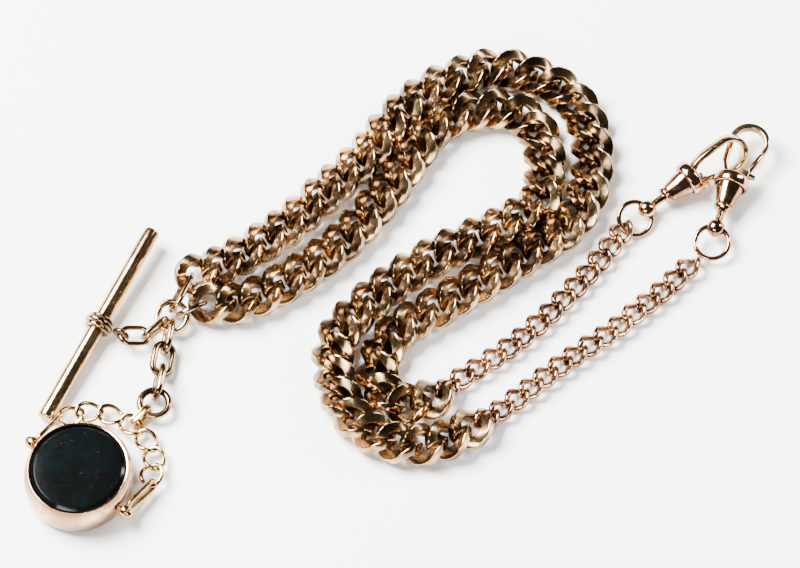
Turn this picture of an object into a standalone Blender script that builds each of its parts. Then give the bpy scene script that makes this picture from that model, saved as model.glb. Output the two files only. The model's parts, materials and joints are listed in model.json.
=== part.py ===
"""Double watch chain: a T-bar, a swivel fob with two stones, two graduated curb strands and two spring clips.

Lengths are millimetres here and become metres where a mesh or a place is handed to Blender.
The chain lies on the plane z = 0, and the origin is the centre of its bounding box on that plane.
"""

import math

import bmesh
import bpy
import numpy as np
from mathutils import Matrix, Vector

MM = 0.001
UP = Vector((0.0, 0.0, 1.0))
SHIFT = Vector((-0.25, 2.43, 0.0))  # from the layout's own origin to the centre of the bounding box
PLAY = 0.12  # half of the clearance between two linked wires
SEAT = 0.12  # clearance of a piece that sits fixed in another
RUNNING = 0.08  # radial clearance of a pin that turns in a hole
FACETS = 16  # sides of a turned piece

# Curb links of the two main strands.
LINK_HALF_LENGTH = 3.3
LINK_HALF_WIDTH = 2.75
LINK_WIRE = 1.75
JOINT_WIRE = 1.05  # wire of the two end links of a run, which turn in the next run
LINK_TWIST = math.radians(50)
LINK_STEPS = 8  # straight stretches in a link
JOINT_STEPS = 10  # and in a link of thinner wire
JOINT_PITCH = 4.3
MIXED_PITCH = 3.5  # from the last main link to the first tail link
LINK_HEIGHT = 2.5
STRAND_RUNS = 5
LINKS_A = 39
LINKS_B = 40
LENGTH_A = 194.1  # between the middles of the first and the last main link
LENGTH_B = 199.3

# Curb links of the two thin tails.
TAIL_HALF_LENGTH = 2.4
TAIL_HALF_WIDTH = 1.9
TAIL_WIRE = 1.2
TAIL_JOINT_WIRE = 0.75
TAIL_HEIGHT = 1.83
TAIL_JOINT_PITCH = 3.0
TAIL_TWIST = math.radians(58)
TAIL_RUNS = 2
TAIL_LINKS_A = 14
TAIL_LINKS_B = 15
TAIL_LENGTH_A = 53.9  # from the last main link to the last tail link
TAIL_LENGTH_B = 56.8

# Which way each run lifts at its joint: 1 raises it, -1 lowers it.
LIFT = {"a": (1, -1, -1, 1, 1, -1, 1), "b": (1, -1, -1, 1, 1, -1, 1)}

# Plain oval and round rings.
RING_WIRE = 0.42  # radius of the wire
RING_HALF_WIDTH = 1.8
STRAND_RING_HALF_WIDTH = 2.5
STRAND_RING_ROLL = math.radians(-64)
END_DROP = 0.55  # extra play of a strand's ring in the twisted end of its first link
TAIL_END_DROP = 0.7  # and of a clip ring in the last link of a tail
JUNCTION = Vector((-45.4, -9.0, 3.0))
JUNCTION_NORMAL = Vector((-0.08, -0.22, 0.97)).normalized()
JUNCTION_START = math.radians(140)  # direction of the two ends of its wire
JUNCTION_RADIUS = 3.05
JUNCTION_WIRE = 0.42
JUNCTION_COIL_PITCH = 0.95
JUNCTION_DROP = 0.7  # extra play of the links on the two turns of wire
FOB_LINK_WIRE = 0.58
FOB_LINK_HALF_WIDTH = 1.95
CLIP_RING_RADIUS = 3.4
CLIP_RING_WIRE = 0.52

# T-bar.
BAR_LENGTH = 46.0
BAR_RADIUS = 1.65
BAR_CENTRE = Vector((-59.9, -10.7, 3.1))
BAR_TURN = math.radians(63.0)
BAR_TILT = math.radians(3.2)
COLLAR_RADIUS = 3.0
COLLAR_WIDTH = 2.9
EYE_RADIUS = 1.35
EYE_WIRE = 0.5

# Swivel fob.
FOB_CENTRE = Vector((-63.2, -45.2, 4.15))
FOB_TURN = math.radians(51)
FOB_RADIUS = 10.6
FOB_OVAL = 1.04  # length of the case over its width
FOB_HALF_DEPTH = 4.0
STONE_RADIUS = 9.3
STONE_THICKNESS = 1.9
STONE_PROUD = 0.15
LEDGE_RADIUS = 8.2
PRONG_LENGTH = 8.2
PRONG_HALF_WIDTH = 1.05
PRONG_GAP = 1.35  # from the case to the middle of a prong
PRONG_ROLL = math.radians(70)
BOSS_RADIUS = 1.3
BOSS_WIDTH = 1.3
ARCH_WIRE = 0.95
ARCH_HALF_SPAN = 10.6
ARCH_RISE = 8.0
ARCH_LINKS = 7
ARCH_LINK_TWIST = math.radians(25)
BAIL_HALF_WIDTH = 1.35
BAIL_STRAP = 0.6
BAIL_WIDTH = 1.4
BAIL_DROP = 0.62  # extra play of the wide strap in a round link
ARCH_TILT = math.radians(8)
PIN_RADIUS = 0.55
PIN_BALL = 0.95
PIN_DEPTH = 1.3  # how far a pin reaches into the case
FOB_LINK_ROLLS = tuple(math.radians(degrees) for degrees in (72, -25, 72))
FOB_RING_RADIUS = 2.9
BAIL_REACH = Vector((3.1, 3.2, 0.5))  # from the arch to the last fob link
ARCH_LINK_HALF_LENGTH = 2.35
ARCH_LINK_HALF_WIDTH = 1.6
ARCH_LINK_WIRE = 0.8

# Spring clips.
CLIP_A = Vector((58.2, 22.1, 3.7))
CLIP_A_TURN = math.radians(36)
CLIP_A_PITCH = math.radians(7.5)
CLIP_A_ROLL = math.radians(55)
CLIP_B = Vector((66.6, 21.2, 3.7))
CLIP_B_TURN = math.radians(72)
CLIP_B_PITCH = math.radians(2.5)
CLIP_B_ROLL = 0.0
CLIP_RING_A_ROLL = math.radians(25)  # for its wire to cross the twisted end link
CLIP_RING_B_NORMAL = Vector((0.0, -0.17, 0.985))
CLIP_RING_B_TOWARDS = Vector((62.2, 7.2, 2.5))
BARREL_LENGTH = 7.6
BARREL_TOP = 0.9  # from the middle of the flange to the closed end of the barrel
BORE_LENGTH = 1.0
CAVITY_END = 3.2
BASE_THICKNESS = 0.5
BARREL_MOUTH = 2.8
BARREL_NECK = 1.75
FLANGE_RADIUS = 3.6
FLANGE_WIDTH = 2.3
STEM_RADIUS = 0.8
STEM_HEAD = 1.2
BALL_RADIUS = 1.85
BALL_HOLE = 1.0
BALL_OFFSET = 10.8  # from the flange to the middle of the ball
HOOK_THICKNESS = 1.15
HOOK_WIDTH = 2.0
HOOK_LEFT = 2.7
HOOK_BEND = 3.6
HOOK_LENGTH = 9.4  # from the flange to the centre of the bend
NOSE_ANGLE = math.radians(24)
GATE_WIDTH = 1.3
GATE_PIVOT = Vector((2.3, -2.35))
GATE_PIN_RADIUS = 0.3
LUG_THICKNESS = 0.45
SPRING_THICKNESS = 0.25

# Points along the middle of each strand, main links first and then the thin tail.
ROUTE_A = (
    (-40.3, 0.8), (-34.6, 3.2), (-24.0, 10.6), (-15.2, 19.2), (-6.8, 28.1), (-1.2, 36.0),
    (5.9, 42.8), (13.7, 46.6), (19.5, 48.0), (25.1, 46.8), (30.0, 44.7), (34.5, 41.2),
    (37.5, 35.7), (38.7, 29.2), (38.5, 23.4), (37.3, 18.2), (33.8, 11.9), (26.9, 6.6),
    (20.2, 1.9), (13.7, -2.6), (6.8, -7.1), (-0.2, -11.9), (-3.8, -17.6), (-4.3, -23.5),
    (-1.4, -27.8), (3.6, -28.4), (8.6, -25.2), (12.4, -21.9), (17.3, -18.6), (22.8, -14.3),
    (28.3, -9.1), (33.1, -3.8), (38.1, 2.2), (41.7, 7.1), (45.0, 11.8),
)  # fmt: skip
ROUTE_B = (
    (-37.4, -6.0), (-32.6, -5.9), (-25.7, -2.8), (-16.3, 3.7), (-9.2, 10.6), (-3.0, 18.9),
    (2.1, 27.0), (6.0, 33.2), (10.8, 36.9), (16.5, 38.4), (22.3, 38.0), (26.3, 35.4),
    (28.6, 30.5), (29.1, 23.6), (27.9, 17.3), (23.1, 13.2), (17.0, 9.8), (10.3, 6.6),
    (3.2, 2.2), (-3.2, -2.8), (-9.0, -8.5), (-12.5, -13.6), (-13.4, -18.8), (-12.5, -24.5),
    (-10.3, -30.2), (-5.7, -34.9), (0.7, -37.4), (6.8, -37.1), (11.9, -34.9), (16.6, -31.6),
    (22.3, -27.4), (28.7, -21.9), (35.3, -16.6), (42.3, -11.5), (47.5, -6.8), (52.8, -2.1),
    (56.7, 2.0), (60.6, 5.4), (64.0, 9.0),
)  # fmt: skip


# ---------------------------------------------------------------- tools


def start_empty_scene():
    for obj in list(bpy.data.objects):
        bpy.data.objects.remove(obj, do_unlink=True)
    parts = bpy.data.collections.new("double_watch_chain")
    cutters = bpy.data.collections.new("cutters")
    bpy.context.scene.collection.children.link(parts)
    bpy.context.scene.collection.children.link(cutters)
    return parts, cutters


def finish_material(name, colour, metallic, roughness):
    material = bpy.data.materials.new(name)
    material.use_nodes = True
    shader = material.node_tree.nodes["Principled BSDF"]
    shader.inputs["Base Color"].default_value = (*colour, 1.0)
    shader.inputs["Metallic"].default_value = metallic
    shader.inputs["Roughness"].default_value = roughness
    return material


def frame_at(origin, along, normal=(0.0, 0.0, 1.0), roll=0.0):
    """A place whose X runs along a direction and whose Z is near the normal, rolled about X."""
    x = Vector(along).normalized()
    y = Vector(normal).cross(x).normalized()
    z = x.cross(y)
    turn = Matrix((x, y, z)).transposed().to_4x4()
    return Matrix.Translation(Vector(origin)) @ turn @ Matrix.Rotation(roll, 4, "X")


def in_metres(place):
    moved = place.copy()
    moved.translation = (place.translation + SHIFT) * MM
    return moved


def add_object(name, data, place, material, body):
    """Adds a part to its collection, at its place, riding on the pivot of its body."""
    obj = bpy.data.objects.new(name, data)
    PARTS.objects.link(obj)
    data.materials.append(material)
    obj.matrix_world = in_metres(place)
    if body is not None:
        obj.parent = body
        obj.matrix_parent_inverse = body.matrix_world.inverted()
        obj.matrix_world = in_metres(place)
    return obj


def make_helper(obj):
    """Turns an object into a cutter or another operand of a Boolean."""
    for collection in list(obj.users_collection):
        collection.objects.unlink(obj)
    CUTTERS.objects.link(obj)
    obj.hide_render = True
    obj.display_type = "WIRE"
    return obj


def boolean(obj, operand, operation):
    cut = obj.modifiers.new(operation.lower(), "BOOLEAN")
    cut.operation = operation
    cut.object = make_helper(operand)


def new_body(name, parent, anchor, axis):
    """An empty on a joint: its origin is a point of the axis, and its Z runs along the axis."""
    pivot = bpy.data.objects.new("pivot_" + name, None)
    PARTS.objects.link(pivot)
    pivot.empty_display_size = 2 * MM
    turn = Vector(axis).to_track_quat("Z", "Y").to_matrix().to_4x4()
    place = in_metres(Matrix.Translation(Vector(anchor)) @ turn)
    pivot.matrix_world = place
    if parent is not None:
        pivot.parent = parent
        pivot.matrix_parent_inverse = parent.matrix_world.inverted()
    bpy.context.view_layer.update()
    return pivot


def mesh_of_curve(curve):
    """The closed mesh of a curve, with the doubles along its caps merged."""
    obj = bpy.data.objects.new(curve.name, curve)
    CUTTERS.objects.link(obj)
    graph = bpy.context.evaluated_depsgraph_get()
    mesh = bpy.data.meshes.new_from_object(obj.evaluated_get(graph))
    bpy.data.objects.remove(obj)
    bpy.data.curves.remove(curve)
    shape = bmesh.new()
    shape.from_mesh(mesh)
    bmesh.ops.remove_doubles(shape, verts=shape.verts, dist=0.001 * MM)
    bmesh.ops.recalc_face_normals(shape, faces=shape.faces)
    shape.to_mesh(mesh)
    shape.free()
    return mesh


def add_loop(curve, points, cyclic=True):
    spline = curve.splines.new("POLY")
    spline.points.add(len(points) - 1)
    for target, point in zip(spline.points, points):
        target.co = (*(Vector(point).to_3d() * MM), 1.0)
    spline.use_cyclic_u = cyclic


def plate_mesh(name, loops, thickness):
    """A flat plate with the given outlines, the inner ones being holes."""
    curve = bpy.data.curves.new(name, "CURVE")
    curve.dimensions = "2D"
    curve.fill_mode = "BOTH"
    curve.extrude = thickness / 2 * MM
    for loop in loops:
        add_loop(curve, loop)
    return mesh_of_curve(curve)


def wire_mesh(name, points, radius, cyclic=True, sides=6):
    curve = bpy.data.curves.new(name, "CURVE")
    curve.dimensions = "3D"
    curve.bevel_depth = radius * MM
    curve.bevel_resolution = (sides - 4) // 2
    curve.use_fill_caps = not cyclic
    add_loop(curve, points, cyclic)
    return mesh_of_curve(curve)


def ellipse(half_length, half_width, steps, centre=(0.0, 0.0)):
    angles = (2 * math.pi * i / steps for i in range(steps))
    return [
        Vector((centre[0] + half_length * math.cos(a), centre[1] + half_width * math.sin(a), 0.0))
        for a in angles
    ]


def turned(name, profile, place, material, body, closed=False, steps=FACETS):
    """A turned piece: its profile holds (radius, height) points, the outer side from top to bottom."""
    count = len(profile)
    edges = [(i, i + 1) for i in range(count - 1)] + ([(count - 1, 0)] if closed else [])
    mesh = bpy.data.meshes.new(name)
    mesh.from_pydata([(r * MM, 0.0, z * MM) for r, z in profile], edges, [])
    obj = add_object(name, mesh, place, material, body)
    screw = obj.modifiers.new("turn", "SCREW")
    screw.steps = steps
    screw.render_steps = steps
    screw.use_merge_vertices = True
    screw.merge_threshold = 0.00001
    screw.use_smooth_shade = True
    return obj


def solid_rod(name, radius, length, place, steps=12):
    """A plain cylinder about Z, used as a cutter or joined to another piece."""
    shape = bmesh.new()
    bmesh.ops.create_cone(
        shape, cap_ends=True, segments=steps, radius1=radius * MM, radius2=radius * MM, depth=length * MM
    )
    mesh = bpy.data.meshes.new(name)
    shape.to_mesh(mesh)
    shape.free()
    obj = bpy.data.objects.new(name, mesh)
    CUTTERS.objects.link(obj)
    obj.matrix_world = in_metres(place)
    return obj


def solid_box(name, size, place):
    shape = bmesh.new()
    bmesh.ops.create_cube(shape, size=1.0)
    bmesh.ops.scale(shape, vec=Vector(size) * MM, verts=shape.verts)
    mesh = bpy.data.meshes.new(name)
    shape.to_mesh(mesh)
    shape.free()
    obj = bpy.data.objects.new(name, mesh)
    CUTTERS.objects.link(obj)
    obj.matrix_world = in_metres(place)
    return obj


# ---------------------------------------------------------------- rings


def oval(half_length, half_width, turns=4):
    """The outline of an oval with round ends, its long side along X."""
    reach = max(half_length - half_width, 0.0)
    points = []
    for sign in (1, -1):
        for i in range(turns + 1):
            angle = math.pi * (i / turns - 0.5)
            x, y = reach + half_width * math.cos(angle), half_width * math.sin(angle)
            points.append(Vector((x, y, 0.0)) * sign)
    return points


def oval_between(start, end, end_wire):
    """The half length of an oval whose ends hang on two contact points."""
    return (Vector(end) - Vector(start)).length / 2 + end_wire + PLAY


def oval_link(name, start, end, half_width, wire, roll, material, body, slack=0.0):
    """A round-wire oval that hangs between two contact points, inside the wires it is linked with."""
    start, end = Vector(start), Vector(end)
    place = frame_at((start + end) / 2, end - start, roll=roll)
    mesh = wire_mesh(name, oval(oval_between(start, end, wire) + slack, half_width), wire)
    return add_object(name, mesh, place, material, body)


def strap_link(name, start, end, half_width, thickness, width, material, body):
    """A loop of flat strap in an upright plane, which hangs between two contact points."""
    start, end = Vector(start), Vector(end)
    half_length = oval_between(start, end, thickness / 2)
    outlines = [
        oval(half_length + side * thickness / 2, half_width + side * thickness / 2) for side in (1, -1)
    ]
    mesh = plate_mesh(name, outlines, width)
    place = frame_at((start + end) / 2, end - start, roll=math.pi / 2)
    return add_object(name, mesh, place, material, body)


def junction_place():
    """The junction ring's place: its wire starts in the direction of X and rises along Z."""
    start = Vector((math.cos(JUNCTION_START), math.sin(JUNCTION_START), 0.0))
    return frame_at(JUNCTION, start - JUNCTION_NORMAL * start.dot(JUNCTION_NORMAL), JUNCTION_NORMAL)


def junction_contact(direction):
    """Where a link bears on the inside of the two turns of wire, in a level direction."""
    angle = (direction - JUNCTION_START) % (2 * math.pi)
    radius = JUNCTION_RADIUS - JUNCTION_WIRE - PLAY - JUNCTION_DROP
    rise = JUNCTION_COIL_PITCH * (angle / (2 * math.pi) - 0.5)
    return junction_place() @ Vector((radius * math.cos(angle), radius * math.sin(angle), rise))


def make_junction_ring(body):
    """A ring of two turns of wire, like a split ring, to which everything hangs."""
    turns, steps = 2, 14
    points = []
    for i in range(turns * steps + 1):
        angle = 2 * math.pi * i / steps
        rise = JUNCTION_COIL_PITCH * (i / steps - turns / 2)
        points.append((JUNCTION_RADIUS * math.cos(angle), JUNCTION_RADIUS * math.sin(angle), rise))
    mesh = wire_mesh("junction_ring", points, JUNCTION_WIRE, cyclic=False)
    add_object("junction_ring", mesh, junction_place(), GOLD, body)


# ---------------------------------------------------------------- T-bar


def make_t_bar(root):
    along_bar = Vector((math.cos(BAR_TURN), math.sin(BAR_TURN), math.tan(BAR_TILT))).normalized()
    to_eye = Vector((math.sin(BAR_TURN), -math.cos(BAR_TURN), 0.0))
    eye = BAR_CENTRE + to_eye * (COLLAR_RADIUS + SEAT + EYE_RADIUS + EYE_WIRE)
    near = junction_contact(math.radians(202))
    far = eye + to_eye * (EYE_RADIUS - EYE_WIRE - PLAY)
    middle = (near + far) / 2 + Vector((0.3, -1.4, -0.5))
    second = new_body("t_bar_link_2", root, near, (middle - near).cross(UP))
    oval_link("t_bar_link_2", near, middle, RING_HALF_WIDTH, RING_WIRE, math.radians(80), GOLD, second, 0.1)
    first = new_body("t_bar_link_1", second, middle, UP)
    oval_link("t_bar_link_1", middle, far, RING_HALF_WIDTH, RING_WIRE, 0.0, GOLD, first, 0.1)
    bar = new_body("t_bar", first, far, -UP)
    bar_place = frame_at(BAR_CENTRE, along_bar) @ Matrix.Rotation(math.pi / 2, 4, "Y")
    end = BAR_LENGTH / 2
    edge = 0.35
    profile = [
        (0, end), (BAR_RADIUS - edge, end), (BAR_RADIUS - 0.1, end - 0.1), (BAR_RADIUS, end - edge),
        (BAR_RADIUS, -end + edge), (BAR_RADIUS - 0.1, -end + 0.1), (BAR_RADIUS - edge, -end), (0, -end),
    ]  # fmt: skip
    turned("t_bar", profile, bar_place, GOLD, bar)
    bore, half = BAR_RADIUS + SEAT, COLLAR_WIDTH / 2
    lip = COLLAR_RADIUS - 0.35
    collar = [
        (bore, half), (lip, half), (lip, half - 0.4), (lip - 0.2, half - 0.55),
        (COLLAR_RADIUS, half - 0.9), (COLLAR_RADIUS, -half + 0.9),
        (lip - 0.2, -half + 0.55), (lip, -half + 0.4), (lip, -half), (bore, -half),
    ]  # fmt: skip
    turned("t_bar_collar", collar, bar_place, GOLD, bar, closed=True)
    ring = wire_mesh("t_bar_eye", ellipse(EYE_RADIUS, EYE_RADIUS, 12), EYE_WIRE)
    add_object("t_bar_eye", ring, frame_at(eye, to_eye, roll=math.pi / 2), GOLD, bar)


# ---------------------------------------------------------------- fob


def make_fob(root):
    forward = Vector((math.cos(FOB_TURN), math.sin(FOB_TURN), 0.0))
    hang = Vector((forward.x, forward.y, -math.tan(ARCH_TILT))).normalized()
    across = hang.cross(UP).normalized()
    top = FOB_CENTRE + hang * (PRONG_LENGTH + ARCH_RISE)
    bail_end = top + hang * (ARCH_LINK_HALF_WIDTH - ARCH_LINK_WIRE / 2 - PLAY - BAIL_DROP)
    start = junction_contact(math.radians(256))
    bail_start = bail_end + BAIL_REACH
    inside = FOB_RING_RADIUS - FOB_LINK_WIRE - PLAY
    ring_centre = bail_start + BAIL_REACH.normalized() * (inside - BAIL_DROP)
    end = ring_centre + (start - ring_centre).normalized() * inside
    body = root
    for step, roll in enumerate(FOB_LINK_ROLLS):
        name = f"fob_link_{step + 1}"
        first, second = (start.lerp(end, (step + i) / len(FOB_LINK_ROLLS)) for i in (0, 1))
        body = new_body(name, body, first, (end - start).cross(UP) * (-1) ** step)
        oval_link(name, first, second, FOB_LINK_HALF_WIDTH, FOB_LINK_WIRE, roll, GOLD, body, 0.08)
    ring = new_body("fob_ring", body, end, (end - ring_centre).cross(UP))
    mesh = wire_mesh("fob_ring", ellipse(FOB_RING_RADIUS, FOB_RING_RADIUS, 14), FOB_LINK_WIRE)
    add_object("fob_ring", mesh, frame_at(ring_centre, end - ring_centre), GOLD, ring)
    bail = new_body("fob_bail", ring, bail_start, UP.cross(BAIL_REACH))
    strap_link("fob_bail", bail_start, bail_end, BAIL_HALF_WIDTH, BAIL_STRAP, BAIL_WIDTH, YELLOW, bail)
    arch = new_body("fob_arch", bail, bail_end, across)
    make_arch(arch, frame_at(FOB_CENTRE, across, across.cross(hang)))
    case = new_body("fob_case", arch, FOB_CENTRE, across)
    make_case(case, frame_at(FOB_CENTRE, across))


def make_arch(arch, place):
    """A stirrup: two long prongs, and a row of small rings soldered to each other over the case."""
    half_span = FOB_RADIUS + PRONG_GAP
    evens, odds = bmesh.new(), bmesh.new()
    prong_end = PRONG_LENGTH + 0.9
    prong = flat_ring((prong_end - 1.0) / 2, PRONG_HALF_WIDTH, ARCH_WIRE)
    for side in (-1, 1):
        upright = Matrix.Translation((side * half_span * MM, (prong_end + 1.0) / 2 * MM, 0.0))
        roll = Matrix.Rotation(side * PRONG_ROLL, 4, "Y")
        add_copy(evens, prong, upright @ roll @ Matrix.Rotation(math.pi / 2, 4, "Z"))
    small = flat_ring(ARCH_LINK_HALF_LENGTH, ARCH_LINK_HALF_WIDTH, ARCH_LINK_WIRE, ARCH_LINK_TWIST)
    for i in range(ARCH_LINKS):
        angle = math.pi * (i + 0.5) / ARCH_LINKS
        x = -ARCH_HALF_SPAN * math.cos(angle)
        y = PRONG_LENGTH + ARCH_RISE * math.sin(angle)
        slope = math.atan2(ARCH_RISE * math.cos(angle), ARCH_HALF_SPAN * math.sin(angle))
        spot = Matrix.Translation((x * MM, y * MM, 0.0)) @ Matrix.Rotation(slope, 4, "Z")
        add_copy(odds if i % 2 == 0 else evens, small, spot)
    stirrup = add_union("fob_arch", evens, odds, place, YELLOW, arch)
    for side in (-1, 1):
        boss = place @ Matrix.Translation((side * half_span, 0.0, 0.0)) @ Matrix.Rotation(math.pi / 2, 4, "Y")
        boolean(stirrup, solid_rod("boss", BOSS_RADIUS, BOSS_WIDTH, boss), "UNION")
        hole = solid_rod("boss_hole", PIN_RADIUS + SEAT, BOSS_WIDTH + 2.0, boss)
        boolean(stirrup, hole, "DIFFERENCE")
    outside = half_span + BOSS_WIDTH / 2 + SEAT
    inside = FOB_RADIUS - PIN_DEPTH
    pin = [
        (0, outside + 0.9), (0.5, outside + 0.8), (PIN_BALL, outside + 0.35), (PIN_BALL, outside),
        (PIN_RADIUS, outside), (PIN_RADIUS, inside), (0, inside),
    ]  # fmt: skip
    for side, name in ((-1, "fob_pin_left"), (1, "fob_pin_right")):
        turned(name, pin, place @ Matrix.Rotation(side * math.pi / 2, 4, "Y"), YELLOW, arch, steps=10)


def make_case(case, place):
    """The double-sided case: a rounded bezel with a ledge on each side and a stone seated on it."""
    oval = place @ Matrix.Diagonal((1.0, FOB_OVAL, 1.0, 1.0))
    seat = STONE_RADIUS + SEAT
    ledge = FOB_HALF_DEPTH + STONE_PROUD - STONE_THICKNESS - SEAT
    top, side = FOB_HALF_DEPTH, FOB_RADIUS
    profile = [
        (seat, top), (seat + 0.35, top), (side - 0.35, top - 0.7), (side, 1.3),
        (side, -1.3), (side - 0.35, -top + 0.7), (seat + 0.35, -top), (seat, -top),
        (seat, -ledge), (LEDGE_RADIUS, -ledge), (LEDGE_RADIUS, ledge), (seat, ledge),
    ]  # fmt: skip
    bezel = turned("fob_bezel", profile, oval, ROSE, case, closed=True, steps=36)
    for sign in (-1, 1):
        side = place @ Matrix.Translation((sign * FOB_RADIUS, 0.0, 0.0))
        spot = side @ Matrix.Rotation(math.pi / 2, 4, "Y")
        socket = solid_rod("pin_socket", PIN_RADIUS + RUNNING, 2 * (PIN_DEPTH + SEAT), spot)
        boolean(bezel, socket, "DIFFERENCE")
    outer, inner = STONE_RADIUS, STONE_RADIUS - 0.8
    face = FOB_HALF_DEPTH + STONE_PROUD
    floor = face - STONE_THICKNESS
    stone = [(0, face), (inner, face), (outer, face - 0.6), (outer, floor), (0, floor)]
    turned("fob_stone_front", stone, oval, STONE, case, steps=36)
    turned("fob_stone_back", stone, oval @ Matrix.Rotation(math.pi, 4, "X"), STONE, case, steps=36)


# ---------------------------------------------------------------- curb strands


def flat_ring(half_length, half_width, wire, twist=0.0, steps=LINK_STEPS):
    """An oval of square wire that lies flat, twisted about its long axis as a curb link is."""
    outer = ellipse(half_length + wire / 2, half_width + wire / 2, steps)
    inner = ellipse(half_length - wire / 2, half_width - wire / 2, steps)
    mesh = plate_mesh("flat_ring", (outer, inner), wire)
    for vertex in mesh.vertices:
        angle = -twist * vertex.co.x / (half_length * MM)
        vertex.co = Matrix.Rotation(angle, 3, "X") @ vertex.co
    return mesh


def add_copy(shape, mesh, place):
    """Adds a copy of a mesh, moved to its place, to a bmesh."""
    copy = mesh.copy()
    copy.transform(place)
    shape.from_mesh(copy)
    bpy.data.meshes.remove(copy)


def add_union(name, evens, odds, place, material, body):
    """One solid from rings of which each overlaps only the next, given as two sets that don't touch."""
    meshes = []
    for suffix, shape in (("", evens), ("_odd", odds)):
        mesh = bpy.data.meshes.new(name + suffix)
        shape.to_mesh(mesh)
        shape.free()
        meshes.append(mesh)
    obj = add_object(name, meshes[0], place, material, body)
    other = add_object(name + "_odd", meshes[1], place, material, None)
    boolean(obj, other, "UNION")
    obj.modifiers[-1].solver = "MANIFOLD"  # the exact solver leaves slivers where like faces cross
    return obj


def smooth_route(points, samples=24):
    """Points closely spaced along a Catmull-Rom curve through the route, with their distance along it."""
    ends = [2 * Vector(points[0]) - Vector(points[1])], [2 * Vector(points[-1]) - Vector(points[-2])]
    knots = np.array([*ends[0], *points, *ends[1]], dtype=float)
    curve = []
    for i in range(1, len(knots) - 2):
        a, b, c, d = knots[i - 1 : i + 3]
        for t in np.arange(samples) / samples:
            squared = (2 * a - 5 * b + 4 * c - d) * t**2
            cubed = (3 * b - a - 3 * c + d) * t**3
            curve.append(0.5 * (2 * b + (c - a) * t + squared + cubed))
    curve.append(knots[-2])
    curve = np.array(curve)
    steps = np.linalg.norm(np.diff(curve, axis=0), axis=1)
    return curve, np.concatenate(([0.0], np.cumsum(steps)))


def run_lengths(links, runs):
    """How many links each run of a strand holds, as even as they can be."""
    return [links // runs + (1 if i < links % runs else 0) for i in range(runs)]


def joint_pitch(before_is_tail, is_tail):
    """The distance between two links that meet at a joint."""
    if before_is_tail != is_tail:
        return MIXED_PITCH
    return TAIL_JOINT_PITCH if is_tail else JOINT_PITCH


def strand_plan(links, length, tail_links, tail_length):
    """For each run of a strand: whether it is of the tail, and the distance of each of its links."""
    main_pitch = (length - (STRAND_RUNS - 1) * JOINT_PITCH) / (links - STRAND_RUNS)
    tail_joints = joint_pitch(False, True) + (TAIL_RUNS - 1) * TAIL_JOINT_PITCH
    tail_pitch = (tail_length - tail_joints) / (tail_links - TAIL_RUNS)
    plan, distance = [], 0.0
    counts = [(False, count) for count in run_lengths(links, STRAND_RUNS)]
    counts += [(True, count) for count in run_lengths(tail_links, TAIL_RUNS)]
    for is_tail, count in counts:
        if plan:
            distance += joint_pitch(plan[-1][0], is_tail)
        pitch = tail_pitch if is_tail else main_pitch
        plan.append((is_tail, [distance + pitch * i for i in range(count)]))
        distance = plan[-1][1][-1]
    return plan


def curb_link(is_tail, is_end):
    """One curb link; the links at the two ends of a run are of thinner wire, so that they turn."""
    if is_tail:
        wire = TAIL_JOINT_WIRE if is_end else TAIL_WIRE
        return flat_ring(TAIL_HALF_LENGTH, TAIL_HALF_WIDTH, wire, TAIL_TWIST)
    wire, steps = (JOINT_WIRE, JOINT_STEPS) if is_end else (LINK_WIRE, LINK_STEPS)
    return flat_ring(LINK_HALF_LENGTH, LINK_HALF_WIDTH, wire, LINK_TWIST, steps)


def strand_height(distance, length):
    """The middle of a link above the table: the tail's thinner links lie lower."""
    return float(np.interp(distance, (length - 2.0, length + 8.0), (LINK_HEIGHT, TAIL_HEIGHT)))


def make_strand(letter, route, plan, length, root, direction):
    """A strand: its ring on the junction and its runs of curb links. Returns its last body and end."""
    curve, distances = smooth_route(route)

    def spot(distance):
        x, y = (float(np.interp(distance, distances, curve[:, k])) for k in (0, 1))
        return Vector((x, y, strand_height(distance, length)))

    def heading(distance):
        return spot(distance + 1.5) - spot(max(distance - 1.5, 0.0))

    contact = junction_contact(direction)
    bearing = spot(0.0) - heading(0.0).normalized() * (LINK_HALF_LENGTH - JOINT_WIRE / 2 - PLAY - END_DROP)
    body = new_body(f"strand_{letter}_ring", root, contact, (bearing - contact).cross(UP))
    name = f"strand_{letter}_ring"
    oval_link(name, contact, bearing, STRAND_RING_HALF_WIDTH, RING_WIRE, STRAND_RING_ROLL, GOLD, body)
    anchor = bearing
    for number, (is_tail, places) in enumerate(plan, start=1):
        name = f"tail_{letter}_run_{number - STRAND_RUNS}" if is_tail else f"strand_{letter}_run_{number}"
        if number > 1:
            anchor = (spot(places[0]) + spot(plan[number - 2][1][-1])) / 2
        body = new_body(name, body, anchor, LIFT[letter][number - 1] * heading(places[0]).cross(UP))
        sets = bmesh.new(), bmesh.new()
        for i, distance in enumerate(places):
            link = curb_link(is_tail, i in (0, len(places) - 1))
            add_copy(sets[i % 2], link, in_metres(frame_at(spot(distance), heading(distance))))
        add_union(name, *sets, Matrix.Translation(-SHIFT), ROSE if is_tail else GOLD, body)
    return body, spot(plan[-1][1][-1]), heading(plan[-1][1][-1])


# ---------------------------------------------------------------- spring clips


def offset_path(points, half):
    """The closed outline of a strap of even thickness along a flat path."""
    left, right = [], []
    for i, point in enumerate(points):
        before, after = points[max(i - 1, 0)], points[min(i + 1, len(points) - 1)]
        along = (Vector(after) - Vector(before)).normalized()
        side = Vector((-along.y, along.x)) * half
        left.append(Vector(point) + side)
        right.append(Vector(point) - side)
    return left + right[::-1]


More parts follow.
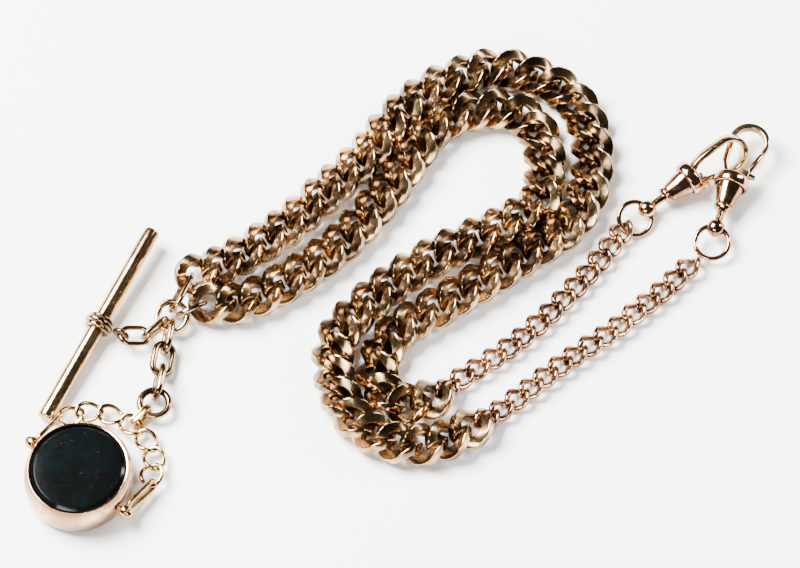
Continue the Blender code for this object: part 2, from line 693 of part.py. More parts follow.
def hook_path():
    centre = Vector((HOOK_LENGTH, HOOK_LEFT - HOOK_BEND))
    points = [Vector((1.3, 1.45)), Vector((2.4, 2.2)), Vector((4.5, HOOK_LEFT - 0.05))]
    steps = 12
    for i in range(steps + 1):
        angle = math.pi / 2 - (math.pi + NOSE_ANGLE) * i / steps
        points.append(centre + Vector((math.cos(angle), math.sin(angle))) * HOOK_BEND)
    return points


def clip_place(flange, turn, pitch, roll=0.0):
    along = Vector((math.cos(turn) * math.cos(pitch), math.sin(turn) * math.cos(pitch), math.sin(pitch)))
    return frame_at(flange, along, roll=roll)


def make_clip(letter, place, parent, anchor, axis):
    """One spring clip: barrel, flange, hook, gate with its pin and leaf spring."""
    axis_place = place @ Matrix.Rotation(math.pi / 2, 4, "Y")
    name = f"clip_{letter}"
    clip = new_body(name, parent, anchor, axis)
    top = BARREL_TOP
    tail = top - BARREL_LENGTH
    bore = STEM_RADIUS + RUNNING
    cavity = STEM_HEAD + 0.25
    barrel = [
        (0, top), (BARREL_MOUTH, top), (BARREL_MOUTH - 0.05, -1.3), (2.3, -3.4),
        (BARREL_NECK + 0.1, tail + 1.5), (BARREL_NECK - 0.2, tail + 1.3), (BARREL_NECK, tail + 1.0),
        (BARREL_NECK, tail + 0.3), (BARREL_NECK - 0.25, tail), (bore, tail), (bore, tail + BORE_LENGTH),
        (cavity, tail + BORE_LENGTH + 0.1), (cavity, tail + CAVITY_END), (0, tail + CAVITY_END),
    ]  # fmt: skip
    turned(f"{name}_barrel", barrel, axis_place, ROSE, clip)
    inner, half = BARREL_MOUTH + SEAT, FLANGE_WIDTH / 2
    ring = [
        (inner, half), (FLANGE_RADIUS - 0.35, half), (FLANGE_RADIUS, half - 0.5),
        (FLANGE_RADIUS, 0.5 - half), (FLANGE_RADIUS - 0.35, -half), (inner, -half),
    ]  # fmt: skip
    turned(f"{name}_flange", ring, axis_place, ROSE, clip, closed=True)
    make_hook(name, place, clip)
    gate = new_body(f"{name}_gate", clip, place @ GATE_PIVOT.to_3d(), place.to_3x3() @ UP)
    make_gate(name, place, gate)
    return clip


def make_hook(name, place, clip):
    strap = plate_mesh(f"{name}_hook", [offset_path(hook_path(), HOOK_THICKNESS / 2)], HOOK_WIDTH)
    hook = add_object(f"{name}_hook", strap, place, GOLD, clip)
    base_middle = BARREL_TOP + SEAT + BASE_THICKNESS / 2
    base = place @ Matrix.Translation((base_middle, 0.0, 0.0)) @ Matrix.Rotation(math.pi / 2, 4, "Y")
    boolean(hook, solid_rod("hook_base", BARREL_MOUTH - 0.35, BASE_THICKNESS, base, 16), "UNION")
    reach = GATE_PIVOT.x + 0.6 - base_middle
    for side in (-1, 1):
        height = side * (GATE_WIDTH / 2 + SEAT + LUG_THICKNESS / 2)
        spot = place @ Matrix.Translation((base_middle + reach / 2, GATE_PIVOT.y + 0.35, height))
        boolean(hook, solid_box("hook_lug", (reach, 1.9, LUG_THICKNESS), spot), "UNION")
    through = place @ Matrix.Translation(GATE_PIVOT.to_3d())
    boolean(hook, solid_rod("lug_hole", GATE_PIN_RADIUS + RUNNING, 4.0, through), "DIFFERENCE")
    pin = solid_rod("pin", GATE_PIN_RADIUS, GATE_WIDTH + 2 * (SEAT + LUG_THICKNESS), through)
    add_object(f"{name}_gate_pin", pin.data, through, GOLD, clip)
    bpy.data.objects.remove(pin)
    floor = base_middle + BASE_THICKNESS / 2 + SEAT + SPRING_THICKNESS / 2
    leaf = [Vector((floor, 0.8)), Vector((floor, -0.3)), Vector((floor + 0.4, -0.9))]
    mesh = plate_mesh(f"{name}_spring", [offset_path(leaf, SPRING_THICKNESS / 2)], GATE_WIDTH)
    add_object(f"{name}_spring", mesh, place, STEEL, clip)


def make_gate(name, place, gate):
    """A straight lever from its pin to the hook's nose, with a short thumb nib beside the flange."""
    nose = hook_path()[-1]
    reach = (nose - GATE_PIVOT).length - 0.25
    towards = (nose - GATE_PIVOT).normalized()
    tip = GATE_PIVOT + towards * reach
    nib = GATE_PIVOT + Vector((-0.1, -1.9))
    half = 0.62
    side = Vector((-towards.y, towards.x)) * half
    outline = [
        tip + side * 0.95, GATE_PIVOT + side + towards * 0.5, GATE_PIVOT + Vector((-0.35, 0.55)),
        GATE_PIVOT + Vector((-0.6, 0.0)), nib + Vector((-0.3, 0.1)), nib + Vector((0.3, -0.15)),
        GATE_PIVOT + Vector((0.5, -0.75)), GATE_PIVOT - side + towards * 1.1, tip - side * 0.95,
    ]  # fmt: skip
    hole = ellipse(GATE_PIN_RADIUS + RUNNING, GATE_PIN_RADIUS + RUNNING, 12, GATE_PIVOT)
    mesh = plate_mesh(f"{name}_gate", [outline, hole], GATE_WIDTH)
    add_object(f"{name}_gate", mesh, place, GOLD, gate)


def make_eye(letter, place, body):
    """The swivel eye: a head inside the barrel, a stem, and a ball drilled for the ring."""
    tail = BARREL_TOP - BARREL_LENGTH
    steps = 6
    start = math.asin(STEM_RADIUS / BALL_RADIUS)
    ball = []
    for i in range(steps + 1):
        angle = start + (math.pi - start) * i / steps
        radius = 0.0 if i == steps else BALL_RADIUS * math.sin(angle)
        ball.append((radius, BALL_RADIUS * math.cos(angle) - BALL_OFFSET))
    head_end = tail + CAVITY_END - 0.3
    head_start = tail + BORE_LENGTH + 0.3
    profile = [
        (0, head_end), (STEM_HEAD, head_end), (STEM_HEAD, head_start), (STEM_RADIUS, head_start), *ball,
    ]  # fmt: skip
    axis_place = place @ Matrix.Rotation(math.pi / 2, 4, "Y")
    eye = turned(f"clip_{letter}_eye", profile, axis_place, ROSE, body, steps=12)
    across = place @ Matrix.Translation((-BALL_OFFSET, 0.0, 0.0)) @ Matrix.Rotation(math.pi / 2, 4, "X")
    boolean(eye, solid_rod("eye_hole", BALL_HOLE, 2 * BALL_RADIUS + 1.0, across), "DIFFERENCE")


def ring_centre(ball, towards):
    """Where a clip's ring is centred for its wire to pass through the ball and curve to the strand."""
    rise = CLIP_RING_RADIUS - math.sqrt(CLIP_RING_RADIUS**2 - BALL_RADIUS**2)
    return ball + (towards - ball).normalized() * (CLIP_RING_RADIUS - rise / 2)


def make_clip_ring(letter, ball, centre, normal, body):
    mesh = wire_mesh(f"clip_{letter}_ring", ellipse(CLIP_RING_RADIUS, CLIP_RING_RADIUS, 16), CLIP_RING_WIRE)
    place = frame_at(centre, ball - centre, normal)
    add_object(f"clip_{letter}_ring", mesh, place, ROSE, body)


def make_clips(tail, tail_end, tail_heading):
    eye_place = clip_place(CLIP_A, CLIP_A_TURN, CLIP_A_PITCH, CLIP_RING_A_ROLL)
    ball_a = eye_place @ Vector((-BALL_OFFSET, 0.0, 0.0))
    to_wire = TAIL_HALF_LENGTH - TAIL_JOINT_WIRE / 2 - PLAY - TAIL_END_DROP
    contact = tail_end + tail_heading.normalized() * to_wire
    centre_a = ring_centre(ball_a, contact)
    ring_a = new_body("clip_a_ring", tail, contact, tail_heading.cross(UP))
    make_clip_ring("a", ball_a, centre_a, eye_place.to_3x3() @ UP, ring_a)
    across_a = eye_place.to_3x3() @ Vector((0.0, 1.0, 0.0))
    eye_a = new_body("clip_a_eye", ring_a, ball_a, -across_a)
    make_eye("a", eye_place, eye_a)
    place_a = clip_place(CLIP_A, CLIP_A_TURN, CLIP_A_PITCH, CLIP_A_ROLL)
    clip_a = make_clip("a", place_a, eye_a, CLIP_A, place_a.to_3x3() @ Vector((1.0, 0.0, 0.0)))

    place_b = clip_place(CLIP_B, CLIP_B_TURN, CLIP_B_PITCH, CLIP_B_ROLL)
    along_b = place_b.to_3x3() @ Vector((1.0, 0.0, 0.0))
    across_b = place_b.to_3x3() @ Vector((0.0, 1.0, 0.0))
    hang = place_b @ Vector((6.5, HOOK_LEFT, 0.0))
    clip_b = make_clip("b", place_b, clip_a, hang, across_b)
    eye_b = new_body("clip_b_eye", clip_b, CLIP_B, along_b)
    make_eye("b", place_b, eye_b)
    ball_b = place_b @ Vector((-BALL_OFFSET, 0.0, 0.0))
    centre_b = ring_centre(ball_b, CLIP_RING_B_TOWARDS)
    ring_b = new_body("clip_b_ring", eye_b, ball_b, across_b)
    make_clip_ring("b", ball_b, centre_b, CLIP_RING_B_NORMAL, ring_b)


def main():
    root = new_body("junction", None, JUNCTION, UP)
    make_junction_ring(root)
    make_t_bar(root)
    make_fob(root)
    plan_a = strand_plan(LINKS_A, LENGTH_A, TAIL_LINKS_A, TAIL_LENGTH_A)
    plan_b = strand_plan(LINKS_B, LENGTH_B, TAIL_LINKS_B, TAIL_LENGTH_B)
    tail_a = make_strand("a", ROUTE_A, plan_a, LENGTH_A, root, math.radians(80))
    make_strand("b", ROUTE_B, plan_b, LENGTH_B, root, math.radians(20))
    make_clips(*tail_a)


PARTS, CUTTERS = start_empty_scene()
GOLD = finish_material("worn_rose_gold", (0.62, 0.42, 0.24), 1.0, 0.28)
ROSE = finish_material("rose_gold", (0.78, 0.50, 0.36), 1.0, 0.22)
YELLOW = finish_material("yellow_gold", (0.85, 0.62, 0.27), 1.0, 0.2)
STONE = finish_material("bloodstone", (0.008, 0.018, 0.016), 0.0, 0.15)
STEEL = finish_material("spring_steel", (0.55, 0.55, 0.56), 1.0, 0.35)
main()
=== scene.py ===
"""The look of a double curb-link watch chain with a T-bar, a stone fob and two spring clips."""

import json
import math

import bmesh
import bpy
import numpy as np
from mathutils import Matrix, Vector


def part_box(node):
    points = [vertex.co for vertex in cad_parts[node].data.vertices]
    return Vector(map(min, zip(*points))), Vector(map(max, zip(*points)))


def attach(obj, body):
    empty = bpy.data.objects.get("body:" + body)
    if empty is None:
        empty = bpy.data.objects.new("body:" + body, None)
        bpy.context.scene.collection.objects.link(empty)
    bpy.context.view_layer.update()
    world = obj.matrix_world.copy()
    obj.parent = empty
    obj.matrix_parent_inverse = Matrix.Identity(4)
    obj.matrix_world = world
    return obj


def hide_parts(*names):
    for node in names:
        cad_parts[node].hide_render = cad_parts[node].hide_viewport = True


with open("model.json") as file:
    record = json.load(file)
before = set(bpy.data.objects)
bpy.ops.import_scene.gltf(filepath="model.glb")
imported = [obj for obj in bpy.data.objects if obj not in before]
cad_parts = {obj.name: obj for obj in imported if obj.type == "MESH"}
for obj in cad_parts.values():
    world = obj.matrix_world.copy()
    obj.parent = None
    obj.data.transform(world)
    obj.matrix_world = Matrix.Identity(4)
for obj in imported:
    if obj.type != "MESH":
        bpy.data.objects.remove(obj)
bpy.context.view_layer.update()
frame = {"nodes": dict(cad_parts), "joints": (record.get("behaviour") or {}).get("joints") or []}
JOINTS = {joint["child"]: joint for joint in frame["joints"]}

# Lengths are in millimetres and become metres as each mesh is finished.
MM = 0.001
UP = Vector((0.0, 0.0, 1.0))
SHIFT = Vector((-0.25, 2.43, 0.0))  # from the routes' own origin to the frame's
PLAY = 0.12  # half of the clearance between two linked wires

LINK_HALF_LENGTH = 3.75  # main links, to the middle of the wire
LINK_HALF_WIDTH = 3.2
LINK_WIRE = 2.3
LINK_TWIST = math.radians(52)
LINK_HEIGHT = 3.0
STRAND_RUNS = 5
LINKS = {"a": 39, "b": 40}
LENGTHS = {"a": 194.1, "b": 199.3}
TAIL_HALF_LENGTH = 2.5
TAIL_HALF_WIDTH = 1.9
TAIL_WIRE = 1.25
TAIL_TWIST = math.radians(58)
TAIL_HEIGHT = 1.83
TAIL_RUNS = 2
TAIL_LINKS = {"a": 14, "b": 15}
TAIL_LENGTHS = {"a": 53.9, "b": 56.8}

RING_WIRE = 0.5  # radius of the wire, as for every round wire below
RING_HALF_WIDTH = 1.8
STRAND_RING_HALF_WIDTH = 2.5
STRAND_RING_ROLL = math.radians(-64)
JUNCTION_START = math.radians(140)
JUNCTION_NORMAL = Vector((-0.08, -0.22, 0.97)).normalized()
JUNCTION_RADIUS = 3.05
JUNCTION_WIRE = 0.5
JUNCTION_COIL_PITCH = 0.95
FOB_LINK_WIRE = 0.68
FOB_LINK_HALF_WIDTH = 1.95
FOB_LINK_ROLLS = tuple(math.radians(degrees) for degrees in (72, -25, 72))
FOB_RING_RADIUS = 2.9
CLIP_RING_RADIUS = 3.4
CLIP_RING_WIRE = 0.52

BAR_LENGTH = 46.0
BAR_RADIUS = 1.65
BAR_TURN = math.radians(63.0)
BAR_TILT = math.radians(3.2)
COLLAR_RADIUS = 3.0
COLLAR_WIDTH = 2.9
EYE_RADIUS = 1.35
EYE_WIRE = 0.5
SEAT = 0.12

FOB_RADIUS = 10.6
FOB_OVAL = 1.04
FOB_HALF_DEPTH = 4.0
STONE_RADIUS = 9.3
STONE_THICKNESS = 1.9
STONE_PROUD = 0.15
PRONG_LENGTH = 8.2
PRONG_HALF_WIDTH = 1.05
PRONG_GAP = 1.35
PRONG_ROLL = math.radians(70)
BOSS_RADIUS = 1.3
BOSS_WIDTH = 1.3
ARCH_WIRE = 0.95
ARCH_HALF_SPAN = 10.6
ARCH_RISE = 8.0
ARCH_LINKS = 7
ARCH_LINK_TWIST = math.radians(25)
ARCH_LINK_HALF_LENGTH = 2.55
ARCH_LINK_HALF_WIDTH = 2.0
ARCH_LINK_WIRE = 0.8
BAIL_HALF_WIDTH = 1.35
BAIL_STRAP = 0.6
BAIL_WIDTH = 1.4
PIN_RADIUS = 0.55
PIN_BALL = 0.95

BARREL_LENGTH = 7.6
BARREL_TOP = 0.9
BARREL_MOUTH = 2.8
BARREL_NECK = 1.75
FLANGE_RADIUS = 3.6
FLANGE_WIDTH = 2.3
STEM_RADIUS = 0.8
BALL_RADIUS = 1.85
BALL_HOLE = 1.0
BALL_OFFSET = 10.8
HOOK_THICKNESS = 1.15
HOOK_WIDTH = 2.0
HOOK_LEFT = 2.7
HOOK_BEND = 3.6
HOOK_LENGTH = 9.4
NOSE_ANGLE = math.radians(24)
GATE_WIDTH = 1.3
GATE_PIVOT = Vector((2.3, -2.35))
GATE_PIN_RADIUS = 0.3
LUG_THICKNESS = 0.45
BASE_THICKNESS = 0.5

# The middle of each strand, main links first and then the thin tail.
ROUTES = {
    "a": (
        (-40.3, 0.8), (-34.6, 3.2), (-24.0, 10.6), (-15.2, 19.2), (-6.8, 28.1), (-1.2, 36.0),
        (5.9, 42.8), (13.7, 46.6), (19.5, 48.0), (25.1, 46.8), (30.0, 44.7), (34.5, 41.2),
        (37.5, 35.7), (38.7, 29.2), (38.5, 23.4), (37.3, 18.2), (33.8, 11.9), (26.9, 6.6),
        (20.2, 1.9), (13.7, -2.6), (6.8, -7.1), (-0.2, -11.9), (-3.8, -17.6), (-4.3, -23.5),
        (-1.4, -27.8), (3.6, -28.4), (8.6, -25.2), (12.4, -21.9), (17.3, -18.6), (22.8, -14.3),
        (28.3, -9.1), (33.1, -3.8), (38.1, 2.2), (41.7, 7.1), (45.0, 11.8),
    ),
    "b": (
        (-37.4, -6.0), (-32.6, -5.9), (-25.7, -2.8), (-16.3, 3.7), (-9.2, 10.6), (-3.0, 18.9),
        (2.1, 27.0), (6.0, 33.2), (10.8, 36.9), (16.5, 38.4), (22.3, 38.0), (26.3, 35.4),
        (28.6, 30.5), (29.1, 23.6), (27.9, 17.3), (23.1, 13.2), (17.0, 9.8), (10.3, 6.6),
        (3.2, 2.2), (-3.2, -2.8), (-9.0, -8.5), (-12.5, -13.6), (-13.4, -18.8), (-12.5, -24.5),
        (-10.3, -30.2), (-5.7, -34.9), (0.7, -37.4), (6.8, -37.1), (11.9, -34.9), (16.6, -31.6),
        (22.3, -27.4), (28.7, -21.9), (35.3, -16.6), (42.3, -11.5), (47.5, -6.8), (52.8, -2.1),
        (56.7, 2.0), (60.6, 5.4), (64.0, 9.0),
    ),
}  # fmt: skip


# ---------------------------------------------------------------- materials


class Value:
    """A socket that is written in sums: each operator adds its Math node."""

    def __init__(self, finish, socket):
        self.finish = finish
        self.socket = socket

    def math(self, operation, first, second, clamp=False):
        settings = {"operation": operation, "use_clamp": clamp}
        return self.finish.node("ShaderNodeMath", settings, {0: first, 1: second}).value()

    def __add__(self, other):
        return self.math("ADD", self, other)

    def __radd__(self, other):
        return self.math("ADD", other, self)

    def __sub__(self, other):
        return self.math("SUBTRACT", self, other)

    def __rsub__(self, other):
        return self.math("SUBTRACT", other, self)

    def __mul__(self, other):
        return self.math("MULTIPLY", self, other)

    def __rmul__(self, other):
        return self.math("MULTIPLY", other, self)

    def clamped(self):
        return self.math("ADD", self, 0.0, clamp=True)


class Node:
    def __init__(self, finish, made):
        self.finish = finish
        self.made = made

    def value(self, output=0):
        return Value(self.finish, self.made.outputs[output])


class Finish:
    """A material while its nodes are laid out."""

    def __init__(self, name):
        self.material = bpy.data.materials.new(name)
        self.material.use_nodes = True
        self.tree = self.material.node_tree
        self.tree.nodes.clear()

    def node(self, kind, settings=None, sockets=None):
        """Adds a node: its settings first, then the values or links of its sockets."""
        made = self.tree.nodes.new(kind)
        for key, value in (settings or {}).items():
            if key == "stops":
                for stop, (position, colour) in zip(made.color_ramp.elements, value):
                    stop.position = position
                    stop.color = colour
            else:
                setattr(made, key, value)
        for key, value in (sockets or {}).items():
            if isinstance(value, Value):
                self.tree.links.new(value.socket, made.inputs[key])
            else:
                made.inputs[key].default_value = value
        return Node(self, made)

    def place(self, stretch=(1.0, 1.0, 1.0)):
        """Where a point of the surface is on its object, stretched along the axes."""
        where = self.node("ShaderNodeTexCoord").value("Object")
        if stretch == (1.0, 1.0, 1.0):
            return where
        return self.node("ShaderNodeMapping", None, {"Vector": where, "Scale": stretch}).value()

    def noise(self, scale, detail=3.0, stretch=(1.0, 1.0, 1.0), distortion=0.0):
        sockets = {"Vector": self.place(stretch), "Scale": scale, "Detail": detail}
        sockets["Distortion"] = distortion
        return self.node("ShaderNodeTexNoise", None, sockets).value("Fac")

    def ramp(self, value, low, high):
        """0 below low, 1 above high, smooth between."""
        sockets = {"Value": value, "From Min": low, "From Max": high}
        return self.node("ShaderNodeMapRange", {"interpolation_type": "SMOOTHSTEP"}, sockets).value()

    def mix(self, factor, first, second):
        settings = {"data_type": "RGBA", "clamp_factor": True}
        return self.node("ShaderNodeMix", settings, {0: factor, 6: first, 7: second}).value(2)

    def attribute(self, name):
        return self.node("ShaderNodeAttribute", {"attribute_name": name}).value("Fac")

    def bump(self, height, depth):
        sockets = {"Height": height, "Strength": 1.0, "Distance": depth * MM}
        return self.node("ShaderNodeBump", None, sockets).value()

    def shade(self, **sockets):
        sockets = {key.replace("_", " "): value for key, value in sockets.items()}
        shader = self.node("ShaderNodeBsdfPrincipled", None, sockets)
        self.node("ShaderNodeOutputMaterial", None, {"Surface": shader.value("BSDF")})
        return self.material


def worn_gold(name, pale, deep, painted_shade_colour, roughness, streaks=1.0):
    """Old polished gold: warmer and darker patches, fine scratches, painted shade in the hollows, and edges
    lightened for rubbed wear and a painted highlight.
    """
    finish = Finish(name)
    patches = finish.ramp(finish.noise(190.0, 3.0, distortion=0.6), 0.38, 0.66)
    clouds = finish.noise(950.0, 4.0)
    fine = finish.noise(4200.0, 3.0)
    scratches = finish.noise(900.0, 2.0, (1.0, 14.0, 5.0), 0.4)
    crossing = finish.noise(800.0, 2.0, (16.0, 1.2, 6.0), 0.4)
    lines = finish.ramp(scratches, 0.6, 0.72) + finish.ramp(crossing, 0.62, 0.74)
    recess = finish.attribute("recess")
    edge = finish.attribute("edge")
    body = finish.mix(patches, deep, pale)
    body = finish.mix(finish.ramp(clouds, 0.35, 0.75) * 0.15, body, pale)
    # Edges are lightened: partly rubbed wear, partly a painted highlight.
    rubbed_and_highlit = tuple(min(1.0, channel * 1.12) for channel in pale[:3]) + (1.0,)
    body = finish.mix(edge * 0.65, body, rubbed_and_highlit)
    # Painted shade: the recess mark, mottled by the clouds, blends the colour towards the dark shade colour
    # and roughens it.
    painted_shade = (recess * (0.55 + clouds * 0.7)).clamped()
    colour = finish.mix(painted_shade, body, painted_shade_colour)
    gloss = roughness + clouds * 0.05 + lines * 0.08 * streaks + painted_shade * 0.22 - edge * 0.04
    height = fine * 0.05 - lines * 0.08 * streaks + clouds * 0.06 + finish.noise(240.0, 1.0) * 0.35
    return finish.shade(
        Base_Color=colour, Metallic=1.0, Roughness=gloss.clamped(), Normal=finish.bump(height, 0.02)
    )


def bloodstone():
    """Near-black green stone with dark red flecks and cloudy green depths, under a high polish."""
    finish = Finish("bloodstone")
    clouds = finish.ramp(finish.noise(140.0, 5.0, distortion=1.2), 0.42, 0.72)
    stone = finish.mix(clouds, (0.0012, 0.0014, 0.0016, 1.0), (0.0013, 0.0028, 0.0028, 1.0))
    spots = finish.ramp(finish.noise(1100.0, 2.0, distortion=0.5), 0.66, 0.72)
    where = finish.ramp(finish.noise(110.0, 2.0), 0.4, 0.62)
    stone = finish.mix(spots * where * 0.85, stone, (0.06, 0.006, 0.007, 1.0))
    scratches = finish.ramp(finish.noise(700.0, 2.0, (1.0, 16.0, 4.0)), 0.63, 0.72)
    gloss = 0.1 + scratches * 0.06 + finish.noise(500.0) * 0.03
    normal = finish.bump(finish.noise(260.0, 2.0) * 0.4 - scratches * 0.1, 0.01)
    return finish.shade(Base_Color=stone, Roughness=gloss, Normal=normal, Specular_IOR_Level=0.12)


def spring_steel():
    finish = Finish("spring_steel")
    grain = finish.noise(900.0, 3.0, (1.0, 12.0, 1.0))
    colour = finish.mix(grain, (0.32, 0.32, 0.33, 1.0), (0.6, 0.6, 0.62, 1.0))
    normal = finish.bump(grain, 0.01)
    return finish.shade(Base_Color=colour, Metallic=1.0, Roughness=0.28 + grain * 0.2, Normal=normal)


def table_paper():
    finish = Finish("table_paper")
    tone = finish.mix(finish.noise(6.0), (0.95, 0.95, 0.95, 1.0), (0.96, 0.96, 0.96, 1.0))
    return finish.shade(Base_Color=tone, Roughness=0.9, Normal=finish.bump(finish.noise(900.0), 0.01))


GOLD = worn_gold(
    "worn_rose_gold", (0.56, 0.36, 0.18, 1.0), (0.11, 0.064, 0.034, 1.0), (0.016, 0.009, 0.005, 1.0), 0.13
)
TAIL_GOLD = worn_gold(
    "worn_tail_gold", (0.58, 0.35, 0.20, 1.0), (0.16, 0.085, 0.05, 1.0), (0.02, 0.009, 0.005, 1.0), 0.13
)
BAR_GOLD = worn_gold(
    "polished_bar_gold", (0.70, 0.48, 0.25, 1.0), (0.38, 0.235, 0.12, 1.0), (0.08, 0.04, 0.02, 1.0), 0.12, 1.3
)
ROSE = worn_gold(
    "polished_rose_gold", (0.66, 0.39, 0.225, 1.0), (0.30, 0.155, 0.085, 1.0), (0.05, 0.02, 0.012, 1.0), 0.1
)
YELLOW = worn_gold(
    "yellow_gold_wire", (0.74, 0.50, 0.20, 1.0), (0.36, 0.22, 0.085, 1.0), (0.08, 0.04, 0.012, 1.0), 0.12
)
BLOODSTONE = bloodstone()
STEEL = spring_steel()


# ---------------------------------------------------------------- shapes


def frame_at(origin, along, normal=(0.0, 0.0, 1.0), roll=0.0):
    """A place whose X runs along a direction and whose Z is near the normal, rolled about X."""
    x = Vector(along).normalized()
    y = Vector(normal).cross(x).normalized()
    turn = Matrix((x, y, x.cross(y))).transposed().to_4x4()
    return Matrix.Translation(Vector(origin)) @ turn @ Matrix.Rotation(roll, 4, "X")


def joint_at(body):
    """Where the joint of a body is, in millimetres."""
    return Vector(JOINTS[body]["pos_m"]) / MM


def joint_axis(body):
    return Vector(JOINTS[body]["axis"]).normalized()


def skin(rings, closed=False, place=None, marks=None):
    """A shape skinned over rings of points; open ends get caps. Marks hold (recess, edge) for each point."""
    shape = bmesh.new()
    recess = shape.verts.layers.float.new("recess")
    edge = shape.verts.layers.float.new("edge")
    rows = []
    for i, ring in enumerate(rings):
        row = [shape.verts.new(point) for point in ring]
        for k, vertex in enumerate(row):
            if marks is not None:
                vertex[recess], vertex[edge] = marks[i][k]
        rows.append(row)
    pairs = list(zip(rows, rows[1:])) + ([(rows[-1], rows[0])] if closed else [])
    for first, second in pairs:
        for k in range(len(first)):
            after = (k + 1) % len(first)
            shape.faces.new((first[k], first[after], second[after], second[k]))
    if not closed:
        shape.faces.new(rows[0][::-1])
        shape.faces.new(rows[-1])
    if place is not None:
        bmesh.ops.transform(shape, matrix=place, verts=shape.verts)
    return shape


def join(*shapes):
    """One bmesh from several."""
    whole = shapes[0]
    for shape in shapes[1:]:
        mesh = bpy.data.meshes.new("part")
        shape.to_mesh(mesh)
        shape.free()
        whole.from_mesh(mesh)
        bpy.data.meshes.remove(mesh)
    return whole


def finished_mesh(name, shape, sharp=math.radians(35)):
    """The mesh of a shape in metres, closed at its seams, facing outwards and shaded smooth."""
    bmesh.ops.remove_doubles(shape, verts=shape.verts, dist=0.0005)
    bmesh.ops.recalc_face_normals(shape, faces=shape.faces)
    bmesh.ops.scale(shape, vec=(MM, MM, MM), verts=shape.verts)
    mesh = bpy.data.meshes.new(name)
    shape.to_mesh(mesh)
    shape.free()
    mesh.shade_smooth()
    mesh.set_sharp_from_angle(angle=sharp)
    return mesh


def add_piece(name, mesh, body, material, nodes):
    """Adds a piece that stands for CAD nodes and rides on their body."""
    piece = bpy.data.objects.new(name, mesh)
    bpy.context.scene.collection.objects.link(piece)
    mesh.materials.clear()
    mesh.materials.append(material)
    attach(piece, body)
    if nodes:
        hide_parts(*nodes)
    return piece


def round_section(radius, sides=14):
    return [(radius * math.cos(2 * math.pi * k / sides), radius * math.sin(2 * math.pi * k / sides))
            for k in range(sides)]  # fmt: skip


def bevelled_section(half_thickness, half_width, bevel, turns=3):
    """A rectangle with rounded corners, as (thickness, width) points."""
    points = []
    for corner, (u, v) in enumerate(((1, 1), (-1, 1), (-1, -1), (1, -1))):
        for i in range(turns + 1):
            angle = math.pi / 2 * (corner + i / turns)
            x = u * (half_thickness - bevel) + bevel * math.cos(angle)
            y = v * (half_width - bevel) + bevel * math.sin(angle)
            points.append((x, y))
    return points


def sweep(path, section, closed, scales=None):
    """Rings of a section along a path near the XY plane: its first side points left of the path."""
    rings = []
    count = len(path)
    for i, point in enumerate(path):
        before = path[(i - 1) % count] if closed or i else point
        after = path[(i + 1) % count] if closed or i < count - 1 else point
        along = (Vector(after) - Vector(before)).normalized()
        left = UP.cross(along).normalized()
        up = along.cross(left)
        u_scale, v_scale = scales[i] if scales else (1.0, 1.0)
        rings.append([Vector(point) + left * u * u_scale + up * v * v_scale for u, v in section])
    return rings


def ellipse(half_length, half_width, steps):
    angles = (2 * math.pi * i / steps for i in range(steps))
    return [Vector((half_length * math.cos(a), half_width * math.sin(a), 0.0)) for a in angles]


def oval(half_length, half_width, turns=12):
    """The outline of an oval with round ends, its long side along X."""
    reach = max(half_length - half_width, 0.0)
    points = []
    for sign in (1, -1):
        for i in range(turns + 1):
            angle = math.pi * (i / turns - 0.5)
            x, y = reach + half_width * math.cos(angle), half_width * math.sin(angle)
            points.append(Vector((x, y, 0.0)) * sign)
    return points


def turned(profile, place, closed=False, steps=48):
    """A turned shape about Z from (radius, height) points."""
    rings = []
    for i in range(steps):
        angle = 2 * math.pi * i / steps
        rings.append([Vector((r * math.cos(angle), r * math.sin(angle), z)) for r, z in profile])
    shape = bmesh.new()
    recess = shape.verts.layers.float.new("recess")
    shape.verts.layers.float.new("edge")
    rows = [[shape.verts.new(point) for point in ring] for ring in rings]
    # Grooves of the profile are marked for painted shade.
    grooves = groove_marks(profile)
    for row in rows:
        for vertex, depth in zip(row, grooves):
            vertex[recess] = depth
    last = len(profile) if closed else len(profile) - 1
    for i in range(steps):
        here, there = rows[i], rows[(i + 1) % steps]
        for k in range(last):
            after = (k + 1) % len(profile)
            shape.faces.new((here[k], there[k], there[after], here[after]))
    bmesh.ops.transform(shape, matrix=place, verts=shape.verts)
    bmesh.ops.remove_doubles(shape, verts=shape.verts, dist=0.0005)
    return shape


def groove_marks(profile):
    """How deep each point of a profile lies below the line between its neighbours, as a mark for painted
    shade.
    """
    marks = []
    for i, (radius, _) in enumerate(profile):
        before, after = profile[max(i - 2, 0)][0], profile[min(i + 2, len(profile) - 1)][0]
        marks.append(min(max(((before + after) / 2 - radius) * 2.2, 0.0), 0.8))
    return marks


def arc(centre, radius, start, end, steps=6):
    """Profile points along an arc, from one angle in degrees to another."""
    angles = (math.radians(start + (end - start) * i / steps) for i in range(steps + 1))
    return [(centre[0] + radius * math.cos(a), centre[1] + radius * math.sin(a)) for a in angles]


# ---------------------------------------------------------------- curb links


